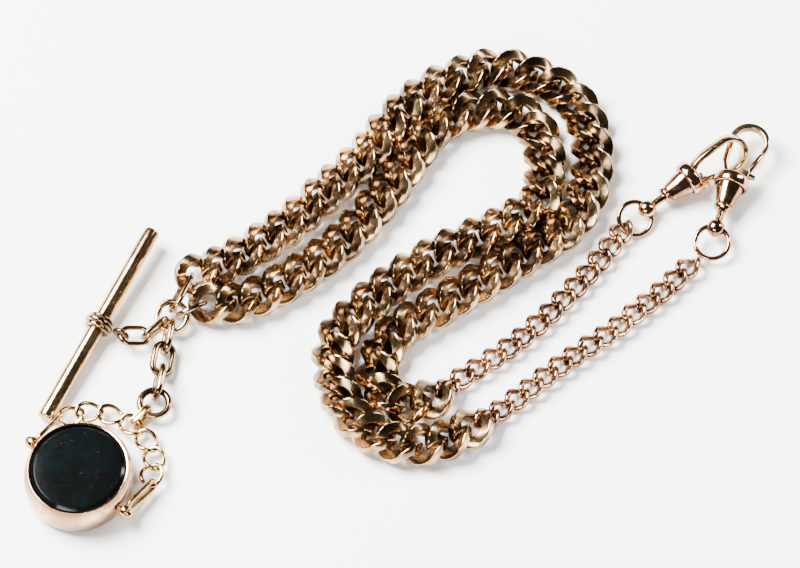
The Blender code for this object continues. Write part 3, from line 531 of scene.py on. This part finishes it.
def curb_link(name, half_length, half_width, wire, twist, bevel, steps=30):
    """An oval of square wire twisted about its long axis, with bevels marked for rubbed wear and a painted
    highlight, and painted shade on its inner side.
    """
    half = wire / 2
    section = bevelled_section(half, half, bevel)
    rings, marks = [], []
    for i in range(steps):
        angle = 2 * math.pi * i / steps
        centre = Vector((half_length * math.cos(angle), half_width * math.sin(angle), 0.0))
        outward = Vector((half_width * math.cos(angle), half_length * math.sin(angle), 0.0)).normalized()
        ring, row = [], []
        for u, v in section:
            point = centre + outward * u + UP * v
            turn = Matrix.Rotation(-twist * point.x / half_length, 3, "X")
            ring.append(turn @ point)
            # Painted shade on the inner side, strongest at the ends where neighbouring links cross; the
            # corners are marked for rubbed wear and a painted highlight.
            inner = min(max(-u / half, 0.0), 1.0)
            corner = min(abs(u), abs(v)) / (half - bevel * 0.3)
            row.append((inner**2 * (0.45 + 0.55 * abs(math.cos(angle))), max(corner - 0.8, 0.0) * 4))
        rings.append(ring)
        marks.append(row)
    return finished_mesh(name, skin(rings, closed=True, marks=marks), math.radians(42))


def link_tree():
    """Geometry nodes that set a link on every point, turned as the point says."""
    tree = bpy.data.node_groups.new("links on points", "GeometryNodeTree")
    for name, kind in (("Geometry", "Geometry"), ("Link", "Object"), ("Finish", "Material")):
        tree.interface.new_socket(name, in_out="INPUT", socket_type=f"NodeSocket{kind}")
    tree.interface.new_socket("Geometry", in_out="OUTPUT", socket_type="NodeSocketGeometry")

    def add(kind, **settings):
        node = tree.nodes.new(kind)
        for key, value in settings.items():
            setattr(node, key, value)
        return node

    entry, leave = add("NodeGroupInput"), add("NodeGroupOutput")
    link = add("GeometryNodeObjectInfo")
    facing = add("GeometryNodeInputNamedAttribute", data_type="FLOAT_VECTOR")
    facing.inputs["Name"].default_value = "facing"
    turn = add("FunctionNodeEulerToRotation")
    place = add("GeometryNodeInstanceOnPoints")
    real = add("GeometryNodeRealizeInstances")
    paint = add("GeometryNodeSetMaterial")
    for source, target in (
        (entry.outputs["Geometry"], place.inputs["Points"]),
        (entry.outputs["Link"], link.inputs["Object"]),
        (link.outputs["Geometry"], place.inputs["Instance"]),
        (facing.outputs["Attribute"], turn.inputs["Euler"]),
        (turn.outputs["Rotation"], place.inputs["Rotation"]),
        (place.outputs["Instances"], real.inputs["Geometry"]),
        (real.outputs["Geometry"], paint.inputs["Geometry"]),
        (entry.outputs["Finish"], paint.inputs["Material"]),
        (paint.outputs["Geometry"], leave.inputs["Geometry"]),
    ):
        tree.links.new(source, target)
    return tree


LINK_TREE = link_tree()


def helper_object(mesh):
    obj = bpy.data.objects.new(mesh.name, mesh)
    bpy.context.scene.collection.objects.link(obj)
    return obj


def set_links(name, link, places, material):
    """The plain mesh of a run: a copy of the link at each place."""
    points = bpy.data.meshes.new(f"{name}_points")
    points.from_pydata([place.translation * MM for place in places], [], [])
    facing = points.attributes.new("facing", "FLOAT_VECTOR", "POINT")
    facing.data.foreach_set("vector", [angle for place in places for angle in place.to_euler()])
    holder = helper_object(points)
    modifier = holder.modifiers.new("links", "NODES")
    modifier.node_group = LINK_TREE
    values = {"Link": link, "Finish": material}
    for item in LINK_TREE.interface.items_tree:
        if item.in_out == "INPUT" and item.name in values:
            modifier[item.identifier] = values[item.name]
    bpy.context.view_layer.update()
    graph = bpy.context.evaluated_depsgraph_get()
    mesh = bpy.data.meshes.new_from_object(holder.evaluated_get(graph))
    holder.modifiers.remove(modifier)
    bpy.data.objects.remove(holder)
    mesh.name = name
    return mesh


def smooth_route(points, samples=24):
    """Points closely spaced along a Catmull-Rom curve through the route, with their distance along it."""
    ends = [2 * Vector(points[0]) - Vector(points[1])], [2 * Vector(points[-1]) - Vector(points[-2])]
    knots = np.array([*ends[0], *points, *ends[1]], dtype=float)
    curve = []
    for i in range(1, len(knots) - 2):
        a, b, c, d = knots[i - 1 : i + 3]
        for t in np.arange(samples) / samples:
            squared = (2 * a - 5 * b + 4 * c - d) * t**2
            cubed = (3 * b - a - 3 * c + d) * t**3
            curve.append(0.5 * (2 * b + (c - a) * t + squared + cubed))
    curve.append(knots[-2])
    curve = np.array(curve)
    steps = np.linalg.norm(np.diff(curve, axis=0), axis=1)
    return curve, np.concatenate(([0.0], np.cumsum(steps)))


def run_counts(links, tail_links):
    """For each run of a strand of the frame: whether it is of the tail, and how many links it holds."""
    counts = [(False, links // STRAND_RUNS + (i < links % STRAND_RUNS)) for i in range(STRAND_RUNS)]
    return counts + [(True, tail_links // TAIL_RUNS + (i < tail_links % TAIL_RUNS)) for i in range(TAIL_RUNS)]


def make_strand(letter, main_link, tail_link):
    """The runs of a strand, each riding on its body. Links are evenly spread over the whole strand."""
    curve, distances = smooth_route(ROUTES[letter])
    length, links = LENGTHS[letter], LINKS[letter]
    tail_length, tail_links = TAIL_LENGTHS[letter], TAIL_LINKS[letter]

    def spot(distance):
        x, y = (float(np.interp(distance, distances, curve[:, k])) for k in (0, 1))
        height = float(np.interp(distance, (length - 2.0, length + 8.0), (LINK_HEIGHT, TAIL_HEIGHT)))
        return Vector((x, y, height)) + SHIFT

    def heading(distance):
        return spot(distance + 1.5) - spot(max(distance - 1.5, 0.0))

    placed = [length * i / (links - 1) for i in range(links)]
    placed += [length + tail_length * (i + 1) / tail_links for i in range(tail_links)]
    number = 0
    for run, (is_tail, count) in enumerate(run_counts(links, tail_links), start=1):
        name = f"tail_{letter}_run_{run - STRAND_RUNS}" if is_tail else f"strand_{letter}_run_{run}"
        places = []
        for _ in range(count):
            distance = placed[number]
            wobble = math.radians(5) * math.sin(number * 2.4 + (letter == "b"))
            places.append(frame_at(spot(distance), heading(distance), roll=wobble))
            number += 1
        link, material = (tail_link, TAIL_GOLD) if is_tail else (main_link, GOLD)
        mesh = set_links(name, link, places, material)
        add_piece(f"{name}_links", mesh, name, material, [name])


def make_strands():
    main = helper_object(
        curb_link("main_link", LINK_HALF_LENGTH, LINK_HALF_WIDTH, LINK_WIRE, LINK_TWIST, 0.3)
    )
    tail = helper_object(
        curb_link("tail_link", TAIL_HALF_LENGTH, TAIL_HALF_WIDTH, TAIL_WIRE, TAIL_TWIST, 0.38, 24)
    )
    for letter in ("a", "b"):
        make_strand(letter, main, tail)
    for link in (main, tail):
        bpy.data.objects.remove(link)


# ---------------------------------------------------------------- rings and round-wire links


def wire_shape(path, radius, place, closed=True, sides=14):
    """Round wire along a path, with painted shade marked on the side that faces the middle."""
    section = round_section(radius, sides)
    middle = sum((Vector(point) for point in path), Vector()) / len(path)
    rings = sweep(path, section, closed)
    marks = []
    for point, ring in zip(path, rings):
        outward = (Vector(point) - middle).normalized()
        marks.append([(max(-(p - Vector(point)).dot(outward) / radius, 0.0) ** 2 * 0.6, 0.0) for p in ring])
    return skin(rings, closed, place, marks)


def make_oval_link(name, start, end, half_width, wire, roll, slack):
    half_length = (end - start).length / 2 + wire + PLAY + slack
    place = frame_at((start + end) / 2, end - start, roll=roll)
    shape = wire_shape(oval(half_length, half_width), wire, place)
    mesh = finished_mesh(f"{name}_wire", shape)
    add_piece(f"{name}_wire", mesh, name, GOLD, [name])


def make_links():
    make_oval_link(
        "t_bar_link_2", joint_at("t_bar_link_2"), joint_at("t_bar_link_1"),
        RING_HALF_WIDTH, RING_WIRE, math.radians(80), 0.1,
    )  # fmt: skip
    make_oval_link(
        "t_bar_link_1", joint_at("t_bar_link_1"), joint_at("t_bar"), RING_HALF_WIDTH, RING_WIRE, 0.0, 0.1
    )
    fob_chain = ["fob_link_1", "fob_link_2", "fob_link_3", "fob_ring"]
    for name, after, roll in zip(fob_chain, fob_chain[1:], FOB_LINK_ROLLS):
        make_oval_link(name, joint_at(name), joint_at(after), FOB_LINK_HALF_WIDTH, FOB_LINK_WIRE, roll, 0.08)
    for letter in ("a", "b"):
        name = f"strand_{letter}_ring"
        end = joint_at(f"strand_{letter}_run_1")
        make_oval_link(name, joint_at(name), end, STRAND_RING_HALF_WIDTH, RING_WIRE, STRAND_RING_ROLL, 0.0)
    low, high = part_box("fob_ring")
    centre = (low + high) / 2 / MM
    place = frame_at(centre, joint_at("fob_ring") - centre)
    ring = wire_shape(ellipse(FOB_RING_RADIUS, FOB_RING_RADIUS, 40), FOB_LINK_WIRE, place)
    mesh = finished_mesh("fob_ring_wire", ring)
    add_piece("fob_ring_wire", mesh, "fob_ring", GOLD, ["fob_ring"])


def make_junction():
    """Two close turns of wire, like a split ring."""
    turns, steps = 2, 40
    points = []
    for i in range(turns * steps + 1):
        angle = 2 * math.pi * i / steps
        rise = JUNCTION_COIL_PITCH * (i / steps - turns / 2)
        points.append(Vector((JUNCTION_RADIUS * math.cos(angle), JUNCTION_RADIUS * math.sin(angle), rise)))
    low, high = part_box("junction_ring")
    start = Vector((math.cos(JUNCTION_START), math.sin(JUNCTION_START), 0.0))
    flat = start - JUNCTION_NORMAL * start.dot(JUNCTION_NORMAL)
    place = frame_at((low + high) / 2 / MM, flat, JUNCTION_NORMAL)
    shape = wire_shape(points, JUNCTION_WIRE, place, closed=False)
    mesh = finished_mesh("junction_coil", shape)
    add_piece("junction_coil", mesh, "junction", GOLD, ["junction_ring"])


# ---------------------------------------------------------------- T-bar


def make_t_bar():
    low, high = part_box("t_bar")
    centre = (low + high) / 2 / MM
    along = Vector((math.cos(BAR_TURN), math.sin(BAR_TURN), math.tan(BAR_TILT))).normalized()
    place = frame_at(centre, along) @ Matrix.Rotation(math.pi / 2, 4, "Y")
    end, edge = BAR_LENGTH / 2, 0.55
    profile = [(0.0, end), *arc((BAR_RADIUS - edge, end - edge), edge, 90, 0)]
    bands = 24
    span = 2 * (end - edge)
    profile += [(BAR_RADIUS, end - edge - span * i / bands) for i in range(1, bands)]
    profile += [*arc((BAR_RADIUS - edge, edge - end), edge, 0, -90), (0.0, -end)]
    bar = finished_mesh("bar", turned(profile, place, steps=40), math.radians(50))
    add_piece("bar", bar, "t_bar", BAR_GOLD, ["t_bar"])
    bore, half = BAR_RADIUS + SEAT, COLLAR_WIDTH / 2
    rib, lip = 0.42, COLLAR_RADIUS - 0.45
    ribs = [
        (bore, half), *arc((lip - 0.3, half - rib), rib, 80, -60),
        *arc((COLLAR_RADIUS - 0.62, 0.0), 0.62, 75, -75),
        *arc((lip - 0.3, rib - half), rib, 60, -80), (bore, -half),
    ]  # fmt: skip
    collar = finished_mesh("collar", turned(ribs, place, closed=True), math.radians(40))
    add_piece("collar", collar, "t_bar", GOLD, ["t_bar_collar"])
    low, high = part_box("t_bar_eye")
    to_eye = Vector((math.sin(BAR_TURN), -math.cos(BAR_TURN), 0.0))
    ring_place = frame_at((low + high) / 2 / MM, to_eye, roll=math.pi / 2)
    eye = wire_shape(ellipse(EYE_RADIUS, EYE_RADIUS, 30), EYE_WIRE, ring_place)
    add_piece("bar_eye", finished_mesh("bar_eye", eye), "t_bar", GOLD, ["t_bar_eye"])


# ---------------------------------------------------------------- fob


def make_fob():
    centre = joint_at("fob_case")
    across = joint_axis("fob_case")
    hang = (joint_at("fob_arch") - centre).normalized()
    make_case(frame_at(centre, across))
    make_arch(frame_at(centre, across, across.cross(hang)))
    make_bail()


def make_case(place):
    """The oval bezel with its rounded wall, and the two stones with bevelled edges."""
    top, side, seat = FOB_HALF_DEPTH, FOB_RADIUS, STONE_RADIUS + SEAT
    stretched = place @ Matrix.Diagonal((1.0, FOB_OVAL, 1.0, 1.0))
    wall = [
        (seat, top - 1.6), (seat, top - 0.1), *arc((seat + 0.28, top - 0.14), 0.14, 120, 20, 4),
        (seat + 0.5, top - 0.55), (side - 0.25, top - 1.15),
        (side - 0.04, top - 1.9), (side + 0.02, top - 2.9),
    ]  # fmt: skip
    profile = wall + [(side + 0.04, 0.0)] + [(r, -z) for r, z in reversed(wall)]
    bezel = finished_mesh("bezel", turned(profile, stretched, closed=True, steps=72), math.radians(38))
    add_piece("bezel", bezel, "fob_case", ROSE, ["fob_bezel"])
    face = FOB_HALF_DEPTH + STONE_PROUD
    floor = face - STONE_THICKNESS
    stone = [
        (0.0, face), (STONE_RADIUS * 0.5, face), (STONE_RADIUS - 0.85, face),
        *arc((STONE_RADIUS - 0.85, face - 0.12), 0.12, 80, 50, 2),
        (STONE_RADIUS - 0.12, face - 0.55), (STONE_RADIUS, face - 0.75), (STONE_RADIUS, floor), (0.0, floor),
    ]  # fmt: skip
    for node, turn in (("fob_stone_front", 0.0), ("fob_stone_back", math.pi)):
        shape = turned(stone, stretched @ Matrix.Rotation(turn, 4, "X"), steps=72)
        mesh = finished_mesh(f"{node}_polished", shape, math.radians(20))
        add_piece(f"{node}_polished", mesh, "fob_case", BLOODSTONE, [node])


def make_arch(place):
    """Two hairpin prongs of thin wire and a row of small soldered rings, pinned to the case."""
    half_span = FOB_RADIUS + PRONG_GAP
    prong_end = PRONG_LENGTH + 0.9
    shapes = []
    for side in (-1, 1):
        upright = Matrix.Translation((side * half_span, (prong_end + 1.0) / 2, 0.0))
        rolled = upright @ Matrix.Rotation(side * PRONG_ROLL, 4, "Y")
        spot = place @ rolled @ Matrix.Rotation(math.pi / 2, 4, "Z")
        half_length = (prong_end - 1.0) / 2
        shapes.append(wire_shape(oval(half_length, PRONG_HALF_WIDTH * 0.95), ARCH_WIRE / 2 * 0.92, spot))
        beside = Matrix.Translation((side * half_span, 0.0, 0.0))
        boss_place = place @ beside @ Matrix.Rotation(math.pi / 2, 4, "Y")
        half, bore = BOSS_WIDTH / 2, PIN_RADIUS + SEAT
        boss = [
            (bore, half), (BOSS_RADIUS - 0.2, half),
            *arc((BOSS_RADIUS - 0.25, half - 0.25), 0.25, 70, 0, 3),
            *arc((BOSS_RADIUS - 0.25, 0.25 - half), 0.25, 0, -70, 3),
            (BOSS_RADIUS - 0.2, -half), (bore, -half),
        ]  # fmt: skip
        shapes.append(turned(boss, boss_place, closed=True, steps=28))
    stirrup = finished_mesh("stirrup", join(*shapes))
    link = helper_object(
        curb_link(
            "arch_ring", ARCH_LINK_HALF_LENGTH, ARCH_LINK_HALF_WIDTH,
            ARCH_LINK_WIRE, ARCH_LINK_TWIST, 0.3, 28,
        )
    )
    places = []
    for i in range(ARCH_LINKS):
        angle = math.pi * (i + 0.5) / ARCH_LINKS
        x = -ARCH_HALF_SPAN * math.cos(angle)
        y = PRONG_LENGTH + ARCH_RISE * math.sin(angle)
        slope = math.atan2(ARCH_RISE * math.cos(angle), ARCH_HALF_SPAN * math.sin(angle))
        places.append(place @ Matrix.Translation((x, y, 0.0)) @ Matrix.Rotation(slope, 4, "Z"))
    rings = set_links("arch_rings", link, places, YELLOW)
    bpy.data.objects.remove(link)
    add_piece("arch_rings", rings, "fob_arch", YELLOW, ["fob_arch"])
    add_piece("stirrup", stirrup, "fob_arch", YELLOW, ["fob_arch"])
    outside = half_span + BOSS_WIDTH / 2 + SEAT
    inside = FOB_RADIUS - 1.3
    head = [(0.0, outside + 0.9), (0.3, outside + 0.87), (0.62, outside + 0.7), (0.86, outside + 0.42)]
    pin = [*head, (PIN_BALL, outside + 0.1), (PIN_RADIUS, outside), (PIN_RADIUS, inside), (0.0, inside)]
    for side, node in ((-1, "fob_pin_left"), (1, "fob_pin_right")):
        shape = turned(pin, place @ Matrix.Rotation(side * math.pi / 2, 4, "Y"), steps=24)
        mesh = finished_mesh(f"{node}_domed", shape, math.radians(45))
        add_piece(f"{node}_domed", mesh, "fob_arch", YELLOW, [node])


def make_bail():
    """A folded strap between the last ring and the arch, wider in the middle, with two ridges."""
    start, end = joint_at("fob_bail"), joint_at("fob_arch")
    half_length = (end - start).length / 2 + BAIL_STRAP / 2 + PLAY
    place = frame_at((start + end) / 2, end - start, roll=math.pi / 2)
    path = oval(half_length, BAIL_HALF_WIDTH, 10)
    ridges = [
        (0.5, -1.0), (0.95, -0.86), (1.0, -0.68), (0.45, -0.5), (0.3, 0.0), (0.45, 0.5),
        (1.0, 0.68), (0.95, 0.86), (0.5, 1.0), (-0.8, 0.95), (-1.0, 0.6), (-1.0, -0.6), (-0.8, -0.95),
    ]  # fmt: skip
    section = [(-u * BAIL_STRAP / 2, v * BAIL_WIDTH / 2) for u, v in ridges]
    scales = [(1.0, 0.8 + 0.2 * (1 - abs(point.x) / half_length)) for point in path]
    shape = skin(sweep(path, section, True, scales), True, place)
    mesh = finished_mesh("folded_bail", shape, math.radians(40))
    add_piece("folded_bail", mesh, "fob_bail", YELLOW, ["fob_bail"])


# ---------------------------------------------------------------- spring clips


def clip_frame(swivel_body, gate_body):
    """A clip's place: the middle of its flange, X to its hook, Z across the hook's strap."""
    along = joint_axis(swivel_body)
    return frame_at(joint_at(swivel_body), along, joint_axis(gate_body))


def hook_path():
    centre = Vector((HOOK_LENGTH, HOOK_LEFT - HOOK_BEND, 0.0))
    points = [Vector((1.3, 1.35, 0.0)), Vector((1.9, 1.85, 0.0)), Vector((2.7, 2.3, 0.0))]
    points += [Vector((4.2, 2.6, 0.0)), Vector((6.5, HOOK_LEFT - 0.02, 0.0))]
    steps = 30
    for i in range(steps + 1):
        angle = math.pi / 2 - (math.pi + NOSE_ANGLE) * i / steps
        points.append(centre + Vector((math.cos(angle), math.sin(angle), 0.0)) * HOOK_BEND)
    return points


def make_clip(letter, place):
    name, body = f"clip_{letter}", f"clip_{letter}"
    axis_place = place @ Matrix.Rotation(math.pi / 2, 4, "Y")
    top, tail, neck = BARREL_TOP, BARREL_TOP - BARREL_LENGTH, BARREL_NECK
    bore = STEM_RADIUS + 0.08
    barrel = [
        (0.0, top), (BARREL_MOUTH - 0.2, top), (BARREL_MOUTH, top - 0.2), (BARREL_MOUTH - 0.02, -0.9),
        (BARREL_MOUTH - 0.12, -1.6), (2.46, -2.6), (2.15, -3.6), (1.95, -4.5), (neck + 0.12, tail + 1.75),
        (neck + 0.05, tail + 1.45), (neck - 0.2, tail + 1.32), (neck - 0.2, tail + 1.2),
        *arc((neck - 0.32, tail + 0.68), 0.42, 60, -60, 6), (neck - 0.3, tail + 0.02), (bore, tail),
        (bore, tail + 1.0), (0.0, tail + 1.0),
    ]  # fmt: skip
    mesh = finished_mesh(f"{name}_turned_barrel", turned(barrel, axis_place), math.radians(38))
    add_piece(f"{name}_turned_barrel", mesh, body, ROSE, [f"{name}_barrel"])
    inner, half = BARREL_MOUTH + SEAT, FLANGE_WIDTH / 2
    bulge = [(inner, half - 0.25), (inner + 0.1, half)]
    bulge += [
        (inner + 0.1 + (FLANGE_RADIUS - inner - 0.1) * math.cos(a) ** 0.6, half * math.sin(a))
        for a in (math.radians(80 - 16 * i) for i in range(11))
    ]
    bulge += [(inner + 0.1, -half), (inner, 0.25 - half)]
    mesh = finished_mesh(f"{name}_round_flange", turned(bulge, axis_place, closed=True), math.radians(45))
    add_piece(f"{name}_round_flange", mesh, body, ROSE, [f"{name}_flange"])
    make_hook(name, place)
    make_gate(name, place)


def make_hook(name, place):
    """The hook's strap with bevelled edges, narrower at the nose, on its disc with two lugs."""
    path = hook_path()
    section = bevelled_section(HOOK_THICKNESS / 2, HOOK_WIDTH / 2, 0.3)
    marks_edge = [min(abs(u) / (HOOK_THICKNESS / 2), abs(v) / (HOOK_WIDTH / 2)) for u, v in section]
    count = len(path)
    scales, marks = [], []
    for i in range(count):
        taper = min(1.0, 0.72 + (count - 1 - i) / 9 * 0.28)
        scales.append((taper, taper))
        row = []
        for (u, _), edge in zip(section, marks_edge):
            # The inner side of the hook's curve gets painted shade; its bevels get the mark for rubbed wear
            # and a painted highlight.
            row.append((0.35 if u < -0.5 else 0.0, max(edge - 0.75, 0.0) * 4))
        marks.append(row)
    shape = skin(sweep(path, section, False, scales), False, place, marks)
    base_middle = BARREL_TOP + SEAT + BASE_THICKNESS / 2
    reach, radius = BASE_THICKNESS / 2, BARREL_MOUTH - 0.35
    disc = [(0.0, reach), (radius - 0.2, reach), (radius, reach - 0.2), (radius, -reach), (0.0, -reach)]
    spot = place @ Matrix.Translation((base_middle, 0.0, 0.0)) @ Matrix.Rotation(math.pi / 2, 4, "Y")
    parts = [shape, turned(disc, spot, steps=40)]
    lug = bevelled_section(0.95, LUG_THICKNESS / 2, 0.15)
    lug_height = GATE_PIVOT.y + 0.35
    lug_path = [Vector((base_middle, lug_height, 0.0)), Vector((GATE_PIVOT.x + 0.6, lug_height, 0.0))]
    for side in (-1, 1):
        height = side * (GATE_WIDTH / 2 + SEAT + LUG_THICKNESS / 2)
        lug_place = place @ Matrix.Translation((0.0, 0.0, height))
        parts.append(skin(sweep(lug_path, lug, False), False, lug_place))
    mesh = finished_mesh(f"{name}_strap_hook", join(*parts), math.radians(38))
    add_piece(f"{name}_strap_hook", mesh, name, BAR_GOLD, [f"{name}_hook"])
    half = GATE_WIDTH / 2 + SEAT + LUG_THICKNESS
    pin = [(0.0, half), (GATE_PIN_RADIUS, half - 0.02), (GATE_PIN_RADIUS, 0.02 - half), (0.0, -half)]
    through = place @ Matrix.Translation(GATE_PIVOT.to_3d())
    mesh = finished_mesh(f"{name}_rivet", turned(pin, through, steps=20))
    add_piece(f"{name}_rivet", mesh, name, ROSE, [f"{name}_gate_pin"])


def make_gate(name, place):
    """A round lever from its pin to the hook's nose, with a thumb nib."""
    nose = hook_path()[-1].to_2d()
    towards = (nose - GATE_PIVOT).normalized()
    reach = (nose - GATE_PIVOT).length - 0.25
    start, end = GATE_PIVOT - towards * 0.15, GATE_PIVOT + towards * reach
    path = [start.lerp(end, t).to_3d() for t in (0.0, 0.06, 0.5, 0.94, 1.0)]
    scales = [(0.75, 0.75), (1.0, 1.0), (0.98, 0.98), (0.92, 0.92), (0.6, 0.6)]
    rod = skin(sweep(path, round_section(0.62, 18), False, scales), False, place)
    nib_path = [(GATE_PIVOT + Vector(offset)).to_3d() for offset in ((0.0, 0.0), (-0.08, -1.2), (-0.1, -1.95))]
    nib_sizes = [(1.0, 1.0), (0.8, 1.0), (0.5, 0.85)]
    nib = skin(sweep(nib_path, bevelled_section(0.55, GATE_WIDTH / 2, 0.16), False, nib_sizes), False, place)
    mesh = finished_mesh(f"{name}_gate_lever", join(rod, nib), math.radians(40))
    add_piece(f"{name}_gate_lever", mesh, f"{name}_gate", BAR_GOLD, [f"{name}_gate"])


def make_eye(letter, place):
    """The swivel's ball, drilled for the ring, on its short stem."""
    tail = BARREL_TOP - BARREL_LENGTH
    stem = math.degrees(math.asin(STEM_RADIUS / BALL_RADIUS))
    profile = [(0.0, tail + 0.9), (STEM_RADIUS, tail + 0.9)]
    profile += [
        (BALL_RADIUS * math.sin(math.radians(stem + (180 - stem) * i / 16)),
         BALL_RADIUS * math.cos(math.radians(stem + (180 - stem) * i / 16)) - BALL_OFFSET)
        for i in range(17)
    ]  # fmt: skip
    profile[-1] = (0.0, -BALL_OFFSET - BALL_RADIUS)
    axis_place = place @ Matrix.Rotation(math.pi / 2, 4, "Y")
    mesh = finished_mesh(f"clip_{letter}_ball", turned(profile, axis_place, steps=32), math.radians(50))
    across = place @ Matrix.Translation((-BALL_OFFSET, 0.0, 0.0)) @ Matrix.Rotation(math.pi / 2, 4, "X")
    radius = BALL_HOLE
    length = BALL_RADIUS + 1.0
    drill = [(0.0, length), (radius, length), (radius, -length), (0.0, -length)]
    cutter = helper_object(finished_mesh("drill", turned(drill, across, steps=24)))
    ball = helper_object(mesh)
    cut = ball.modifiers.new("hole", "BOOLEAN")
    cut.operation = "DIFFERENCE"
    cut.object = cutter
    bpy.context.view_layer.update()
    graph = bpy.context.evaluated_depsgraph_get()
    drilled = bpy.data.meshes.new_from_object(ball.evaluated_get(graph))
    for obj in (ball, cutter):
        bpy.data.objects.remove(obj)
    drilled.shade_smooth()
    drilled.set_sharp_from_angle(angle=math.radians(40))
    name = f"clip_{letter}_eye"
    add_piece(f"{name}_ball", drilled, name, ROSE, [name])


def make_clip_ring(letter, ball, normal):
    name = f"clip_{letter}_ring"
    low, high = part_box(name)
    centre = (low + high) / 2 / MM
    place = frame_at(centre, ball - centre, normal)
    shape = wire_shape(ellipse(CLIP_RING_RADIUS, CLIP_RING_RADIUS, 48), CLIP_RING_WIRE, place)
    add_piece(f"{name}_wire", finished_mesh(f"{name}_wire", shape), name, ROSE, [name])


def make_clips():
    make_clip("a", clip_frame("clip_a", "clip_a_gate"))
    make_clip("b", clip_frame("clip_b_eye", "clip_b_gate"))
    along_a = joint_axis("clip_a")
    eye_normal = along_a.cross(-joint_axis("clip_a_eye"))
    eye_place = frame_at(joint_at("clip_a"), along_a, eye_normal)
    make_eye("a", eye_place)
    make_clip_ring("a", joint_at("clip_a_eye"), eye_normal)
    make_eye("b", clip_frame("clip_b_eye", "clip_b_gate"))
    make_clip_ring("b", joint_at("clip_b_ring"), Vector((0.0, -0.17, 0.985)))
    for letter in ("a", "b"):
        leaf = frame["nodes"][f"clip_{letter}_spring"]
        leaf.data.materials.clear()
        leaf.data.materials.append(STEEL)


# ---------------------------------------------------------------- table, light and camera


def make_table():
    shape = bmesh.new()
    bmesh.ops.create_grid(shape, x_segments=2, y_segments=2, size=3.0)
    mesh = bpy.data.meshes.new("table")
    shape.to_mesh(mesh)
    shape.free()
    table = bpy.data.objects.new("table", mesh)
    bpy.context.scene.collection.objects.link(table)
    mesh.materials.append(table_paper())


def add_light(name, place, target, size, power, tint=(1.0, 1.0, 1.0)):
    lamp = bpy.data.lights.new(name, "AREA")
    lamp.shape = "RECTANGLE"
    lamp.size, lamp.size_y = size
    lamp.energy = power
    lamp.color = tint
    obj = bpy.data.objects.new(name, lamp)
    bpy.context.scene.collection.objects.link(obj)
    obj.location = place
    obj.rotation_euler = (Vector(target) - Vector(place)).to_track_quat("-Z", "Y").to_euler()


def make_lights():
    world = bpy.data.worlds.new("studio")
    bpy.context.scene.world = world
    world.use_nodes = True
    world.node_tree.nodes["Background"].inputs["Color"].default_value = (0.9, 0.92, 0.95, 1.0)
    world.node_tree.nodes["Background"].inputs["Strength"].default_value = 0.06
    add_light("key", (-0.55, 0.25, 0.8), (0.0, 0.0, 0.0), (0.6, 0.55), 95.0, (1.0, 0.99, 0.97))
    add_light("right", (0.8, 0.3, 0.5), (0.0, 0.0, 0.0), (0.15, 0.5), 10.0)
    add_light("front", (-0.3, -0.7, 0.55), (0.0, 0.0, 0.0), (0.5, 0.15), 7.0)


def make_camera():
    """A long lens, so that the view is nearly without perspective."""
    elevation = math.radians(62)
    distance, view_width, sensor_width = 1.5, 0.160, 36.0
    camera = bpy.data.cameras.new("camera")
    camera.sensor_width = sensor_width
    camera.lens = sensor_width * distance / view_width
    camera.clip_start, camera.clip_end = 0.05, 20.0
    obj = bpy.data.objects.new("camera", camera)
    bpy.context.scene.collection.objects.link(obj)
    target = SHIFT * MM
    obj.location = target + Vector((0.0, -math.cos(elevation), math.sin(elevation))) * distance
    obj.rotation_euler = (math.pi / 2 - elevation, 0.0, 0.0)
    bpy.context.scene.camera = obj


make_camera()
make_lights()
make_table()
make_strands()
make_links()
make_junction()
make_t_bar()
make_fob()
make_clips()
